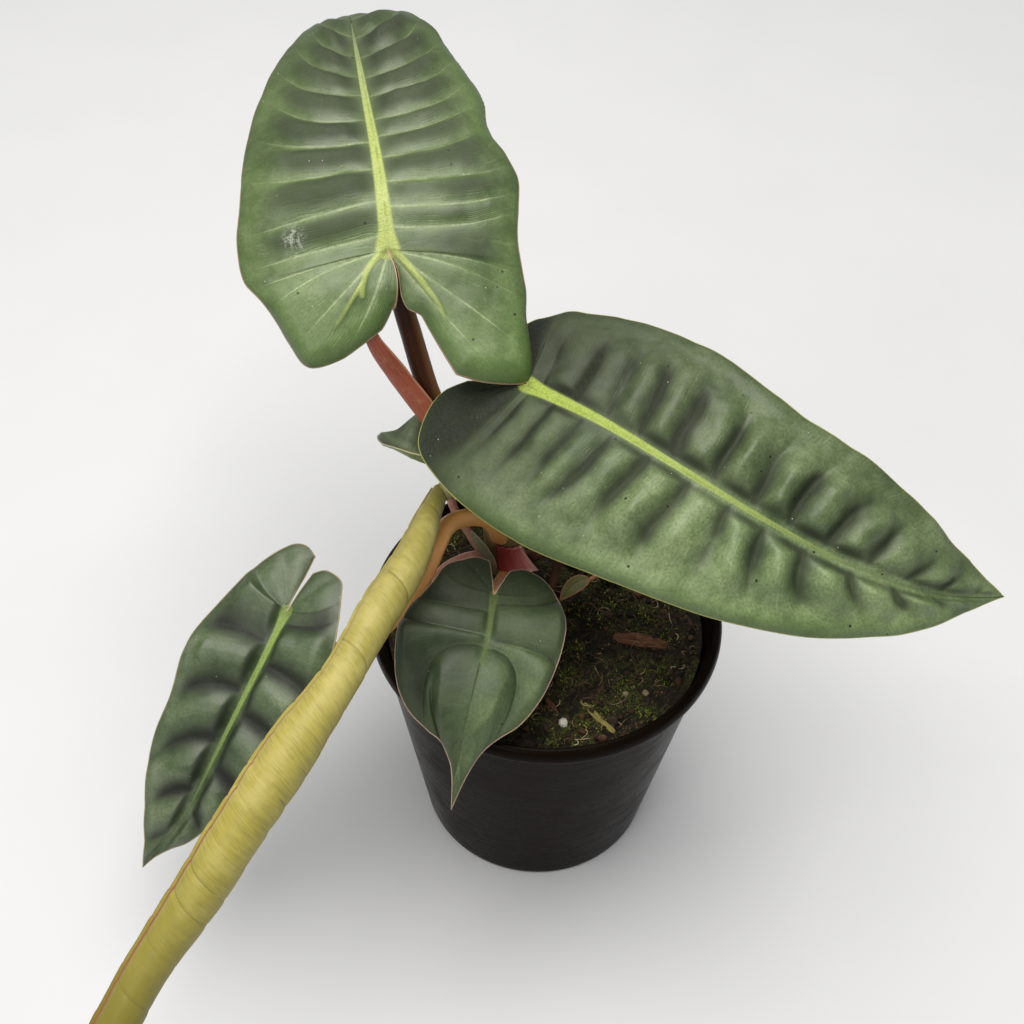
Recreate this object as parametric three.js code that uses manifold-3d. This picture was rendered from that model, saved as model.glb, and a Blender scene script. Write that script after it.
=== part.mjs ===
// Potted philodendron billietiae, a young plant in a round nursery pot.
// Millimetres, +Z up. The origin is the middle of the pot's underside.

import * as THREE from "three";
import { mergeVertices } from "three/addons/utils/BufferGeometryUtils.js";
import Module from "manifold-3d";

const wasm = await Module();
wasm.setup();

// Driving dimensions

const GAP = 0.3;
const MERGE_DISTANCE = 0.002;

const pot = {
  rimRadius: 45,
  height: 80,
  beadHeight: 4.7,
  beadProfile: [[-0.7, 0], [-0.1, 0.8], [0, 2.2], [-0.4, 3.7], [-1.4, 4.6], [-2.2, 4.4], [-2.7, 3.5]],
  bodyTopRadius: 42.8,
  baseRadius: 31.5,
  baseRound: 1.6,
  wall: 1.3,
  sides: 40,
  drainHoles: 6,
  drainRadius: 3.6,
  drainCircle: 21,
};

const soil = {
  top: 72.3,
  rings: 8,
  sectors: 36,
  roughness: 1.3,
  mound: 2.2,
  moundReach: 0.7,
  calmFrom: 0.75,
  calmShare: 0.6,
  waves: [[0.25, 0.42, 0.37, 0.9], [0.25, 0.42, -0.37, 1.7], [0.3, 0.83, -0.62, 2], [0.2, 0.51, 1.1, 0]],
};

const stem = {
  path: [[-8.5, 22, 38], [-9.5, 21, 60], [-11, 19.5, 78], [-12.4, 18.5, 90], [-13, 18, 98]],
  footRadius: 6.2,
  headRadius: 4.6,
  sides: 14,
  steps: 10,
};

const blade = {
  ribHalfWidth: 1.4,
  ribMostShare: 0.1,
  ribTaper: 0.8,
  bulgeStart: 0.8,
  bulgeReach: 5.5,
  bulgeTaper: 0.45,
  bulgeOuter: 0.62,
  bulgeMarginLoss: 0.7,
  bulgeRoundness: 0.8,
  fullBay: 8,
  sweepPlace: 0.35,
  fanStraight: -0.5,
  tipSweep: 0.45,
  tipStraight: 0.9,
  columns: [0.2, 0.42, 0.64, 0.84, 1],
  marginSamples: 400,
  fanRowSpacing: 4.2,
  bayRows: 2,
  bayRowSpacing: 6.5,
  lobeReach: 10,
  seatSize: 8,
};

// The leaves. A midrib runs from the petiole to the tip. Outlines are flat leaf coordinates:
// along the midrib, then across it, from the lobe's inner corner round the lobe to the tip.
// The edge from the notch to that corner bows out of the lobe by a share of its length.
// Folds are degrees up from the midrib, bends are degrees per millimetre outwards,
// and both are listed from the notch to the tip. Veins are fractions of the midrib's length,
// and those below zero fan out into the lobes. A reach pairs where a side vein leaves the midrib
// with where it meets the margin, both measured along the midrib. Dip and sweep bow the side veins.

const leaves = {
  top: {
    thickness: 0.9,
    ribHeight: 1.5,
    midrib: [[-40.3, 33.5, 165], [-42, 43, 171.5], [-45, 58, 175.5], [-49, 77, 177], [-53, 97, 176.8],
      [-57, 118, 173.4], [-60, 134, 163], [-62, 143, 149], [-63, 149, 137]],
    up: [0, -0.25, 1],
    roll: [0, 0],
    bulge: 1.2,
    veins: [-0.47, -0.2, 0.033, 0.095, 0.164, 0.226, 0.288, 0.354, 0.42, 0.493, 0.577, 0.68, 0.8],
    dip: [0.1, 0.14, 0.02, -0.08, -0.08],
    sweep: 0.62,
    left: {
      reach: [[0, -4.6], [12, 6], [21, 25], [30, 42], [38, 56], [48, 67], [56, 79], [66, 92], [80, 108],
        [100, 122]],
      fold: [8, 10, 6],
      bend: [-0.9, -1.1, -2],
      lobeAngle: 8,
      lobeBend: 0.3,
      lobeLift: 3,
      notchBow: 0.3,
      outline: [[-18, 2.8], [-21, 7.7], [-24.2, 14],
        [-25, 21.5],
        [-19, 25.7], [-10, 30], [-3.5, 34.5], [6, 35.6], [18, 34], [31, 32.4], [43, 29.8], [56, 25.4],
        [66, 21.8], [73, 18.7], [80, 15.4], [88, 12], [98, 9.6], [112, 7.4], [125, 4], [137, 0]],
    },
    right: {
      reach: [[0, -4.6], [5.6, 8], [10.5, 13], [17.2, 21], [24.6, 35], [32, 47], [38, 55], [47.2, 64],
        [55.2, 74], [65, 86], [80, 108], [100, 122]],
      fold: [10, 12, 14],
      bend: [-1, -1.1, -1.2],
      lobeAngle: 2,
      lobeBend: 0,
      lobeLift: -0.5,
      notchBow: 0.04,
      outline: [[-29.6, -12.9], [-32, -20], [-32.5, -30], [-28, -32.6], [-15, -32.2], [0, -31], [9, -32.2],
        [17, -33.2], [26, -31], [36, -29.2], [47, -30], [60, -26.4], [74, -23], [86, -18.2], [96, -15.4],
        [106, -13], [116, -9.6], [126, -6], [137, 0]],
    },
  },
  right: {
    thickness: 0.9,
    ribHeight: 1.5,
    midrib: [[-7.4, 15.3, 142], [9.5, 5.3, 141], [27.6, -5, 137], [45.8, -13.5, 131], [64.6, -18.4, 123],
      [85, -17.9, 113], [98, -14.5, 107], [109.1, -9.7, 102]],
    up: [-0.1, -0.45, 1],
    roll: [0, 6, 22],
    bulge: 1.3,
    veins: [-0.55, -0.24, 0.03, 0.094, 0.165, 0.24, 0.315, 0.39, 0.465, 0.54, 0.62, 0.71, 0.81, 0.9],
    dip: [0.08, 0.1, 0.04, -0.02, -0.05],
    sweep: 0.62,
    left: {
      reach: [[0, -6], [12.7, 12.5], [29.3, 27], [38.4, 38], [49, 48], [59.3, 63], [68.3, 77], [78, 93],
        [89.4, 105], [100, 115], [115, 125]],
      fold: [2, 8, 8],
      bend: [-1, -1, -1],
      lobeAngle: 8,
      lobeBend: 0.3,
      lobeLift: -3,
      notchBow: 0.08,
      outline: [[-11, 7.6], [-13, 13], [-11, 19], [-6, 22.8], [2, 25.6], [13, 29],
        [25, 30.8],
        [36, 31], [46, 29], [58, 27], [70, 26], [84, 24.6], [98, 20.2], [110, 15], [122, 8], [133.5, 0]],
    },
    right: {
      reach: [[0, -9], [8.6, 1.5], [24.2, 14], [34, 28], [44.8, 43], [55, 57], [64, 75], [74, 88], [86, 100],
        [97, 109], [110, 119]],
      fold: [4, 3, 3],
      bend: [-0.6, -0.7, -0.9],
      lobeAngle: 8,
      lobeBend: 0.3,
      lobeLift: 0,
      notchBow: 0,
      outline: [[-14.4, -4.6], [-18.9, -10], [-19.4, -18], [-16.4, -24.9], [-7.5, -29.6],
        [2, -32.4], [12, -33.8], [24, -33.6], [38, -31], [52, -28.2], [66, -24.8], [80, -20.4], [92, -16],
        [104, -11.2], [116, -5.4], [126, -1.8], [133.5, 0]],
    },
  },
  left: {
    thickness: 0.8,
    ribHeight: 1.4,
    midrib: [[-64.4, -9.4, 86], [-69.1, -19, 80], [-74.7, -28.5, 72], [-80.7, -36.8, 62],
      [-87.2, -43.9, 50],
      [-94, -48.8, 40], [-100.4, -51.9, 32]],
    up: [-0.3, -0.6, 1],
    roll: [0, -10, -20],
    bulge: 1.6,
    veins: [-0.52, -0.1, 0.08, 0.235, 0.41, 0.59, 0.77],
    dip: [0.05, 0.05, 0, -0.05],
    sweep: 0.62,
    left: {
      reach: [[0, -7], [3.6, -3], [14.7, 17.5], [28, 31], [43.4, 48], [56, 61], [67, 71]],
      fold: [10, 10, 10],
      bend: [-0.9, -0.9, -0.9],
      lobeAngle: 6,
      lobeBend: 0,
      lobeLift: 0.6,
      notchBow: 0,
      outline: [[-11, 1.4], [-13, 4.5], [-12, 9.5], [-8, 11.8], [-2, 14.2],
        [5, 16.2],
        [16, 17], [28, 16], [40, 13.2], [50, 10], [58, 7], [64, 5], [69, 2.4], [74, 0.7], [79.4, 0]],
    },
    right: {
      reach: [[0, -4], [9.2, 12], [23, 34], [37, 52], [51, 64], [64, 73]],
      fold: [10, 10, 10],
      bend: [-0.9, -0.9, -0.9],
      lobeAngle: 6,
      lobeBend: 0,
      lobeLift: -0.6,
      notchBow: 0,
      outline: [[-15.5, -0.6], [-17, -4], [-15.5, -8], [-9, -12.4],
        [-2, -14.6], [5, -17.2], [13, -19.4], [21, -19.2], [31, -17.4], [42, -16.2], [52, -14.4], [61, -11],
        [69, -6.4], [74.5, -3], [79.4, 0]],
    },
  },
  heart: {
    thickness: 0.8,
    ribHeight: 1.2,
    midrib: [[-13.2, -13.2, 100], [-14.4, -25.6, 98], [-16.7, -35.7, 92], [-19.1, -44.3, 84],
      [-20.4, -50.2, 76], [-21.4, -54.3, 69]],
    up: [0, -0.8, 1],
    roll: [0, 0],
    bulge: 1.6,
    veins: [-0.5, 0.075, 0.22, 0.26, 0.78],
    dip: [0, 0, 0],
    sweep: 0.88,
    left: {
      reach: [[0, -3], [3, -1.5], [12.8, 15.5], [14.4, 36], [43, 50]],
      fold: [6, 6],
      bend: [-0.7, -0.7],
      lobeAngle: 8,
      lobeBend: 0.6,
      lobeLift: 0.4,
      notchBow: 0,
      outline: [[-7.4, 2.8], [-8.6, 6.3], [-7.2, 10], [-3, 14.1], [2, 16.6],
        [7, 17.9],
        [13, 17.7], [18, 16.8], [24, 15.2], [30, 12.2], [34.5, 8.2], [39, 5], [46, 2.2], [54.9, 0]],
    },
    right: {
      reach: [[0, -4], [5.2, 3], [11.5, 10], [14.2, 36], [30, 41.5], [43, 50]],
      fold: [6, 6],
      bend: [-0.7, -0.7],
      lobeAngle: 8,
      lobeBend: 0.6,
      lobeLift: -0.4,
      notchBow: 0,
      outline: [[-10.8, -2.2], [-11.3, -6], [-9, -10], [-6, -13], [-1, -15],
        [4, -18.2],
        [9, -20.4], [15, -21], [22, -20], [28.5, -17.6], [33, -14], [36, -9.2], [38, -5.2], [42, -2.4],
        [47, -1], [54.9, 0]],
    },
  },
  back: {
    thickness: 0.8,
    ribHeight: 1,
    midrib: [[-27.6, 23.4, 107.3], [-32, 22.9, 109], [-37, 23.5, 111], [-41.6, 26.4, 111],
      [-43.7, 30.2, 110]],
    up: [0, -0.3, 1],
    roll: [0, 0],
    bulge: 0.5,
    veins: [-0.4, 0.1, 0.4, 0.7],
    dip: [0.05, 0],
    sweep: 0.62,
    left: {
      reach: [[0, -0.5], [8, 9]],
      fold: [50, 50, 30],
      bend: [4, 4, 3],
      lobeAngle: 10,
      lobeBend: 0,
      lobeLift: 0,
      notchBow: 0,
      outline: [[-0.6, 0.8], [-0.4, 3], [0.8, 6], [3.5, 8], [7.1, 7.6], [13.1, 5], [20.1, 0]],
    },
    right: {
      reach: [[0, -2], [8, 10]],
      fold: [14, 12, 8],
      bend: [-0.8, -0.8, -0.8],
      lobeAngle: 10,
      lobeBend: 0,
      lobeLift: 0,
      notchBow: 0,
      outline: [[-1.9, -1.8], [-3, -4.5], [-2.6, -9], [1.1, -14], [7.1, -14], [13.1, -10],
        [20.1, 0]],
    },
  },
  tiny: {
    thickness: 0.6,
    ribHeight: 0.3,
    midrib: [[10.6, 9.4, 80.4], [8, 7, 81.2], [5.4, 4.4, 81], [3.4, 2.2, 79.6]],
    up: [0, -0.3, 1],
    roll: [0, 0],
    bulge: 0.1,
    veins: [0.3, 0.6],
    dip: [0, 0],
    sweep: 0.62,
    left: {
      reach: [[0, 0]],
      fold: [20, 20],
      bend: [0, 0],
      lobeAngle: 0,
      lobeBend: 0,
      lobeLift: 0,
      notchBow: 0,
      outline: [[-0.3, 0.5], [2, 1.9], [5, 2.4], [8, 1.7], [10.8, 0]],
    },
    right: {
      reach: [[0, 0]],
      fold: [20, 20],
      bend: [0, 0],
      lobeAngle: 0,
      lobeBend: 0,
      lobeLift: 0,
      notchBow: 0,
      outline: [[-0.3, -0.5], [2, -1.7], [5, -2.1], [8, -1.4], [10.8, 0]],
    },
  },
};

// Small helpers

const radians = THREE.MathUtils.degToRad;

function vector(values) {
  return new THREE.Vector3(...values);
}

function curveThrough(points) {
  return new THREE.CatmullRomCurve3(points.map(vector), false, "catmullrom");
}

function profile(values, u) {
  const place = THREE.MathUtils.clamp(u, 0, 1) * (values.length - 1);
  const index = Math.min(Math.floor(place), values.length - 2);
  return THREE.MathUtils.lerp(values[index], values[index + 1], place - index);
}

function smooth(low, high, value) {
  return THREE.MathUtils.smoothstep(value, low, high);
}

function closedGeometry(points, triangles) {
  const geometry = new THREE.BufferGeometry();
  const places = points.flatMap((point) => point.toArray());
  geometry.setAttribute("position", new THREE.Float32BufferAttribute(places, 3));
  geometry.setIndex(triangles.flat());
  return geometry;
}

// Joining and cutting

function welded(geometry) {
  const bare = geometry.clone();
  bare.deleteAttribute("normal");
  bare.deleteAttribute("uv");
  return mergeVertices(bare, MERGE_DISTANCE);
}

function toSolid(geometry) {
  const merged = welded(geometry);
  const mesh = new wasm.Mesh({
    numProp: 3,
    vertProperties: new Float32Array(merged.attributes.position.array),
    triVerts: new Uint32Array(merged.index.array),
  });
  return new wasm.Manifold(mesh);
}

function toGeometry(solid) {
  const mesh = solid.getMesh();
  const geometry = new THREE.BufferGeometry();
  geometry.setAttribute("position", new THREE.BufferAttribute(new Float32Array(mesh.vertProperties), 3));
  geometry.setIndex(new THREE.BufferAttribute(new Uint32Array(mesh.triVerts), 1));
  return geometry;
}

function largestBody(solid) {
  const bodies = solid.decompose();
  return bodies.reduce((best, body) => (body.volume() > best.volume() ? body : best));
}

function cut(geometry, ...tools) {
  const left = tools.reduce((solid, tool) => solid.subtract(toSolid(tool)), toSolid(geometry));
  return toGeometry(largestBody(left));
}

// A thin sheet: welded points and triangles, thickened downwards into a closed solid

function weld(points, triangles) {
  const kept = [];
  const found = new Map();
  const index = points.map((point) => {
    const key = point.toArray().map((value) => Math.round(value / MERGE_DISTANCE)).join(",");
    if (!found.has(key)) {
      found.set(key, kept.length);
      kept.push(point);
    }
    return found.get(key);
  });
  const renamed = triangles.map((triangle) => triangle.map((corner) => index[corner]));
  const whole = renamed.filter(([a, b, c]) => a !== b && b !== c && c !== a);
  return { points: kept, triangles: whole, index };
}

function boundaryEdges(triangles) {
  const directed = new Set();
  const edges = triangles.flatMap(([a, b, c]) => [[a, b], [b, c], [c, a]]);
  edges.forEach(([a, b]) => directed.add(`${a},${b}`));
  return edges.filter(([a, b]) => !directed.has(`${b},${a}`));
}

function sheetNormals(sheet) {
  const normals = sheet.points.map(() => new THREE.Vector3());
  for (const [a, b, c] of sheet.triangles) {
    const first = sheet.points[b].clone().sub(sheet.points[a]);
    const second = sheet.points[c].clone().sub(sheet.points[a]);
    const normal = first.cross(second);
    [a, b, c].forEach((corner) => normals[corner].add(normal));
  }
  normals.forEach((normal) => normal.normalize());
  return normals;
}

function thicken(sheet, depths, grow = 0) {
  const normals = sheetNormals(sheet);
  const edges = boundaryEdges(sheet.triangles);
  const outwards = sheet.points.map(() => new THREE.Vector3());
  for (const [a, b] of edges) {
    const along = sheet.points[b].clone().sub(sheet.points[a]).normalize();
    outwards[a].add(along.clone().cross(normals[a]));
    outwards[b].add(along.clone().cross(normals[b]));
  }
  outwards.forEach((outward) => outward.setLength(outward.length() > 0 ? grow : 0));
  const moved = (point, i, lift) => point.clone().addScaledVector(normals[i], lift).add(outwards[i]);
  const tops = sheet.points.map((point, i) => moved(point, i, grow));
  const bottoms = sheet.points.map((point, i) => moved(point, i, -depths[i] - grow));
  const count = tops.length;
  const under = sheet.triangles.map(([a, b, c]) => [c + count, b + count, a + count]);
  const walls = edges.flatMap(([a, b]) => [[b, a, a + count], [b, a + count, b + count]]);
  return closedGeometry([...tops, ...bottoms], [...sheet.triangles, ...under, ...walls]);
}

// Leaf blades

// Where on the midrib the side vein starts that reaches a place on the margin
function veinStart(reach, place) {
  const end = reach.findIndex(([, margin]) => margin >= place);
  if (end <= 0) {
    return end === 0 ? reach[0][0] : reach.at(-1)[0];
  }
  const [[lowStart, lowEnd], [highStart, highEnd]] = [reach[end - 1], reach[end]];
  return THREE.MathUtils.mapLinear(place, lowEnd, highEnd, lowStart, highStart);
}

function prepareHalf(half, length) {
  const points = half.outline.map(([x, y]) => new THREE.Vector2(Math.min(x, length), y));
  points[points.length - 1].x = length;
  const margin = new THREE.SplineCurve(points).getPoints(blade.marginSamples);
  const reach = [...half.reach, [length, length]];
  const starts = margin.map((point) => veinStart(reach, point.x));
  const fanEnd = margin.findLastIndex((point) => point.x < reach[0][1]) + 1;
  const lengths = [0];
  for (let i = 1; i <= fanEnd; i += 1) {
    lengths.push(lengths[i - 1] + margin[i].distanceTo(margin[i - 1]));
  }
  return { ...half, margin, starts, fanEnd, lengths };
}

function prepareLeaf(leaf) {
  const curve = curveThrough(leaf.midrib);
  const length = curve.getLength();
  const sides = { left: prepareHalf(leaf.left, length), right: prepareHalf(leaf.right, length) };
  const lobe = (sides.left.lengths.at(-1) + sides.right.lengths.at(-1)) / 2;
  const ends = [-1, ...leaf.veins, 1];
  const rows = [];
  for (let bay = 0; bay < ends.length - 1; bay += 1) {
    const [low, high] = [ends[bay], ends[bay + 1]];
    const lobeRows = (Math.min(0, high) - Math.min(0, low)) * lobe / blade.fanRowSpacing;
    const bodyRows = (Math.max(0, high) - Math.max(0, low)) * length / blade.bayRowSpacing;
    const count = Math.max(blade.bayRows, Math.round(lobeRows + bodyRows));
    for (let step = 0; step < count; step += 1) {
      const fraction = step / count;
      rows.push({ station: THREE.MathUtils.lerp(low, high, fraction), fraction, bay: [low, high] });
    }
  }
  rows.push({ station: 1, fraction: 0, bay: [1, 1] });
  return { ...leaf, ...sides, curve, length, rows };
}

function marginPoint(leaf, half, station) {
  const target = station < 0 ? (station + 1) * half.lengths[half.fanEnd] : station * leaf.length;
  const values = station < 0 ? half.lengths : half.starts;
  const first = station < 0 ? 1 : half.fanEnd;
  let index = first;
  while (index < values.length - 1 && values[index] < target) {
    index += 1;
  }
  const span = Math.max(values[index] - values[index - 1], MERGE_DISTANCE);
  const part = THREE.MathUtils.clamp((target - values[index - 1]) / span, 0, 1);
  return half.margin[index - 1].clone().lerp(half.margin[index], part);
}

// The flat curve that the side vein leaving the midrib at a station follows to the margin.
// It bows towards the tip, less so near the tip itself.
function sideLine(leaf, half, station) {
  const foot = new THREE.Vector2(Math.max(0, station) * leaf.length, 0);
  const end = marginPoint(leaf, half, station);
  const middle = foot.x + blade.sweepPlace * (end.x - foot.x);
  const beside = half.margin.slice(half.fanEnd).find((point) => point.x >= middle);
  const dip = profile(leaf.dip, Math.max(0, station));
  const curved = new THREE.Vector2(foot.x - dip * Math.abs(beside.y), leaf.sweep * beside.y);
  const tip = smooth(blade.tipSweep, blade.tipStraight, station);
  const share = smooth(blade.fanStraight, 0, station) * (1 - tip);
  const control = foot.clone().lerp(end, 0.5).lerp(curved, share);
  const bow = half.notchBow * Math.sign(beside.y) * (1 - smooth(-1, blade.fanStraight, station));
  control.sub(new THREE.Vector2(end.y - foot.y, foot.x - end.x).multiplyScalar(bow));
  return new THREE.QuadraticBezierCurve(foot, control, end);
}

function midribFrame(leaf, u) {
  const along = leaf.curve.getTangentAt(u);
  const side = vector(leaf.up).cross(along).normalize();
  const normal = along.clone().cross(side);
  const roll = radians(profile(leaf.roll, u));
  const rolled = side.clone().multiplyScalar(Math.cos(roll)).addScaledVector(normal, Math.sin(roll));
  return { origin: leaf.curve.getPointAt(u), along, side: rolled, normal: along.clone().cross(rolled) };
}

// How far an arc of this starting slope and bend reaches out and up over a distance
function arcReach(slope, bend, distance) {
  const turned = slope + bend * distance;
  if (Math.abs(bend) < 1e-6) {
    return { out: distance * Math.cos(slope), rise: distance * Math.sin(slope), turned };
  }
  const out = (Math.sin(turned) - Math.sin(slope)) / bend;
  return { out, rise: (Math.cos(slope) - Math.cos(turned)) / bend, turned };
}

function onBlade(leaf, half, x, y, lift) {
  const u = THREE.MathUtils.clamp(x / leaf.length, 0, 1);
  const { origin, along, side, normal } = midribFrame(leaf, u);
  if (x < 0) {
    const inLobe = smooth(0, blade.lobeReach, -x);
    const back = arcReach(radians(half.lobeAngle) * inLobe, radians(half.lobeBend), -x);
    origin.addScaledVector(along, -back.out).addScaledVector(normal, -back.rise);
    const tilted = along.clone().multiplyScalar(Math.sin(back.turned));
    normal.multiplyScalar(Math.cos(back.turned)).sub(tilted);
    origin.addScaledVector(normal, half.lobeLift * inLobe);
  }
  const slope = radians(profile(half.fold, u));
  const across = arcReach(slope, radians(profile(half.bend, u)), Math.abs(y));
  const sign = y < 0 ? -1 : 1;
  const point = origin.addScaledVector(side, sign * across.out).addScaledVector(normal, across.rise);
  point.addScaledVector(normal, lift * Math.cos(across.turned));
  return point.addScaledVector(side, -lift * sign * Math.sin(across.turned));
}

// How far apart the side veins beside a row are, at a share t of the way to the margin
function bayWidth(leaf, half, row, t) {
  const [low, high] = row.bay.map((station) => sideLine(leaf, half, station));
  const across = high.getPoint(t).sub(low.getPoint(t));
  return Math.abs(across.cross(low.getTangent(t)));
}

function bulgeHeight(leaf, half, row, reach, t) {
  if (row.fraction === 0) {
    return 0;
  }
  const along = 1 - blade.bulgeTaper * Math.max(0, row.station) ** 2;
  const inner = smooth(blade.bulgeStart, blade.bulgeReach, reach);
  const outer = 1 - blade.bulgeMarginLoss * smooth(blade.bulgeOuter, 1, t);
  const room = Math.min(1, bayWidth(leaf, half, row, t) / blade.fullBay);
  const arch = Math.sin(Math.PI * row.fraction) ** blade.bulgeRoundness;
  return leaf.bulge * along * inner * outer * room * arch;
}

function bladeHalf(leaf, half) {
  return leaf.rows.map((row) => {
    const line = sideLine(leaf, half, row.station);
    const width = line.v2.distanceTo(line.v0);
    const ribEdge = Math.min(blade.ribHalfWidth / Math.max(width, MERGE_DISTANCE), blade.ribMostShare);
    return [0, ribEdge, ...blade.columns].map((t) => {
      const flat = line.getPoint(t);
      const lift = bulgeHeight(leaf, half, row, flat.distanceTo(line.v0), t);
      return onBlade(leaf, half, flat.x, flat.y, lift);
    });
  });
}

function buildBlade(leaf, grow = 0) {
  const points = [];
  const triangles = [];
  const ribs = [];
  for (const [half, flipped] of [[leaf.left, false], [leaf.right, true]]) {
    const grid = bladeHalf(leaf, half);
    const start = points.length;
    const columns = grid[0].length;
    grid.forEach((row, i) => row.forEach((point, j) => {
      points.push(point);
      const ribTaper = 1 - blade.ribTaper * Math.max(0, leaf.rows[i].station);
      ribs.push(j === 0 ? leaf.ribHeight * ribTaper : 0);
      if (i === 0 || j === 0) {
        return;
      }
      const corner = start + i * columns + j;
      const before = corner - columns;
      const ahead = grid[i][j].distanceTo(grid[i - 1][j - 1]) < grid[i][j - 1].distanceTo(grid[i - 1][j]);
      const pair = ahead
        ? [[before - 1, corner - 1, corner], [before - 1, corner, before]]
        : [[before - 1, corner - 1, before], [corner - 1, corner, before]];
      triangles.push(...(flipped ? pair.map(([a, b, c]) => [c, b, a]) : pair));
    }));
  }
  const sheet = weld(points, triangles);
  const depths = sheet.points.map(() => leaf.thickness);
  sheet.index.forEach((kept, i) => {
    depths[kept] = Math.max(depths[kept], leaf.thickness + ribs[i]);
  });
  return thicken(sheet, depths, grow);
}

// A closed bar of changing section along a curve. section(u, angle) gives the two offsets.
function sweep({ curve, steps, sides, section, up }) {
  const frames = curve.computeFrenetFrames(steps, false);
  const points = [];
  const triangles = [];
  for (let i = 0; i <= steps; i += 1) {
    const u = i / steps;
    const along = frames.tangents[i];
    const side = up ? vector(up).cross(along).normalize() : frames.normals[i];
    const normal = along.clone().cross(side);
    const centre = curve.getPointAt(u);
    for (let j = 0; j < sides; j += 1) {
      const [a, b] = section(u, (2 * Math.PI * j) / sides);
      points.push(centre.clone().addScaledVector(side, a).addScaledVector(normal, b));
    }
  }
  points.push(curve.getPointAt(0), curve.getPointAt(1));
  const [first, last] = [points.length - 2, points.length - 1];
  for (let j = 0; j < sides; j += 1) {
    const next = (j + 1) % sides;
    for (let i = 0; i < steps; i += 1) {
      const [a, b] = [i * sides + j, i * sides + next];
      triangles.push([a, b, b + sides], [a, b + sides, a + sides]);
    }
    triangles.push([first, next, j], [last, steps * sides + j, steps * sides + next]);
  }
  return closedGeometry(points, triangles);
}

function round(radiusAt, grow = 0) {
  return (u, angle) => {
    const radius = radiusAt(u) + grow;
    return [radius * Math.cos(angle), radius * Math.sin(angle)];
  };
}

// Materials

function finish(color, roughness) {
  return new THREE.MeshStandardMaterial({ color, roughness, metalness: 0, side: THREE.DoubleSide });
}

const finishes = {
  plastic: finish(0x15120f, 0.32),
  peat: finish(0x2b2016, 0.95),
  leaf: finish(0x3d5138, 0.45),
  darkLeaf: finish(0x2c3f2b, 0.42),
  newLeaf: finish(0xa0a04e, 0.5),
  stemGreen: finish(0x6d6b3c, 0.6),
  maroon: finish(0x3d1a10, 0.45),
  pink: finish(0xa8705c, 0.55),
  orange: finish(0xb07a42, 0.5),
  red: finish(0xa04a3c, 0.5),
  sheathGreen: finish(0x7c8662, 0.6),
  bark: finish(0x5a3a22, 0.9),
  perlite: finish(0xe8e4da, 0.9),
  straw: finish(0x9a8a4a, 0.85),
};

const plant = new THREE.Group();

function add(name, geometry, material) {
  const mesh = new THREE.Mesh(geometry, material);
  mesh.name = name;
  plant.add(mesh);
}

// The pot

function innerRadius(z) {
  const rise = z / (pot.height - pot.beadHeight);
  return THREE.MathUtils.lerp(pot.baseRadius, pot.bodyTopRadius, rise) - pot.wall;
}

function buildPot() {
  const beadFoot = pot.height - pot.beadHeight;
  const outline = [
    [0, 0],
    [pot.baseRadius - pot.baseRound, 0],
    [pot.baseRadius - 0.4, 0.5],
    [pot.baseRadius + 0.1, pot.baseRound],
    [pot.bodyTopRadius, beadFoot],
    ...pot.beadProfile.map(([out, up]) => [pot.rimRadius + out, beadFoot + up]),
    [innerRadius(beadFoot), beadFoot - 1],
    [innerRadius(pot.wall), pot.wall],
    [0, pot.wall],
  ];
  const shell = new THREE.LatheGeometry(outline.map(([r, z]) => new THREE.Vector2(r, z)), pot.sides);
  shell.rotateX(Math.PI / 2);
  const holes = [];
  for (let i = 0; i < pot.drainHoles; i += 1) {
    const angle = (2 * Math.PI * (i + 0.5)) / pot.drainHoles;
    const hole = new THREE.CylinderGeometry(pot.drainRadius, pot.drainRadius, 4 * pot.wall, 16);
    hole.rotateX(Math.PI / 2);
    hole.translate(pot.drainCircle * Math.cos(angle), pot.drainCircle * Math.sin(angle), pot.wall / 2);
    holes.push(hole);
  }
  return cut(shell, ...holes);
}

// The soil

function soilHeight(x, y) {
  const reach = Math.hypot(x, y) / innerRadius(soil.top);
  const heights = soil.waves.map(([height, alongX, alongY, phase]) => (
    height * Math.sin(alongX * x + alongY * y + phase)
  ));
  const fine = heights.reduce((sum, height) => sum + height, 0);
  const mound = soil.mound * (1 - smooth(0, soil.moundReach, reach));
  const calm = 1 - soil.calmShare * smooth(soil.calmFrom, 1, reach);
  return soil.top + mound + soil.roughness * fine * calm;
}

function buildSoil() {
  const floor = pot.wall + GAP;
  const topRadius = innerRadius(soil.top - soil.roughness) - GAP;
  const points = [new THREE.Vector3(0, 0, soilHeight(0, 0)), new THREE.Vector3(0, 0, floor)];
  const triangles = [];
  const ring = (k, j) => 2 + k * soil.sectors + (j % soil.sectors);
  for (let k = 1; k <= soil.rings + 1; k += 1) {
    for (let j = 0; j < soil.sectors; j += 1) {
      const angle = (2 * Math.PI * j) / soil.sectors;
      const radius = k > soil.rings ? innerRadius(floor) - GAP : (topRadius * k) / soil.rings;
      const [x, y] = [radius * Math.cos(angle), radius * Math.sin(angle)];
      points.push(new THREE.Vector3(x, y, k > soil.rings ? floor : soilHeight(x, y)));
    }
  }
  for (let j = 0; j < soil.sectors; j += 1) {
    triangles.push([0, ring(0, j), ring(0, j + 1)], [1, ring(soil.rings, j + 1), ring(soil.rings, j)]);
    for (let k = 0; k < soil.rings; k += 1) {
      triangles.push([ring(k, j), ring(k + 1, j), ring(k + 1, j + 1)]);
      triangles.push([ring(k, j), ring(k + 1, j + 1), ring(k, j + 1)]);
    }
  }
  return closedGeometry(points, triangles);
}

// The stem and the bars that grow from it

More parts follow.
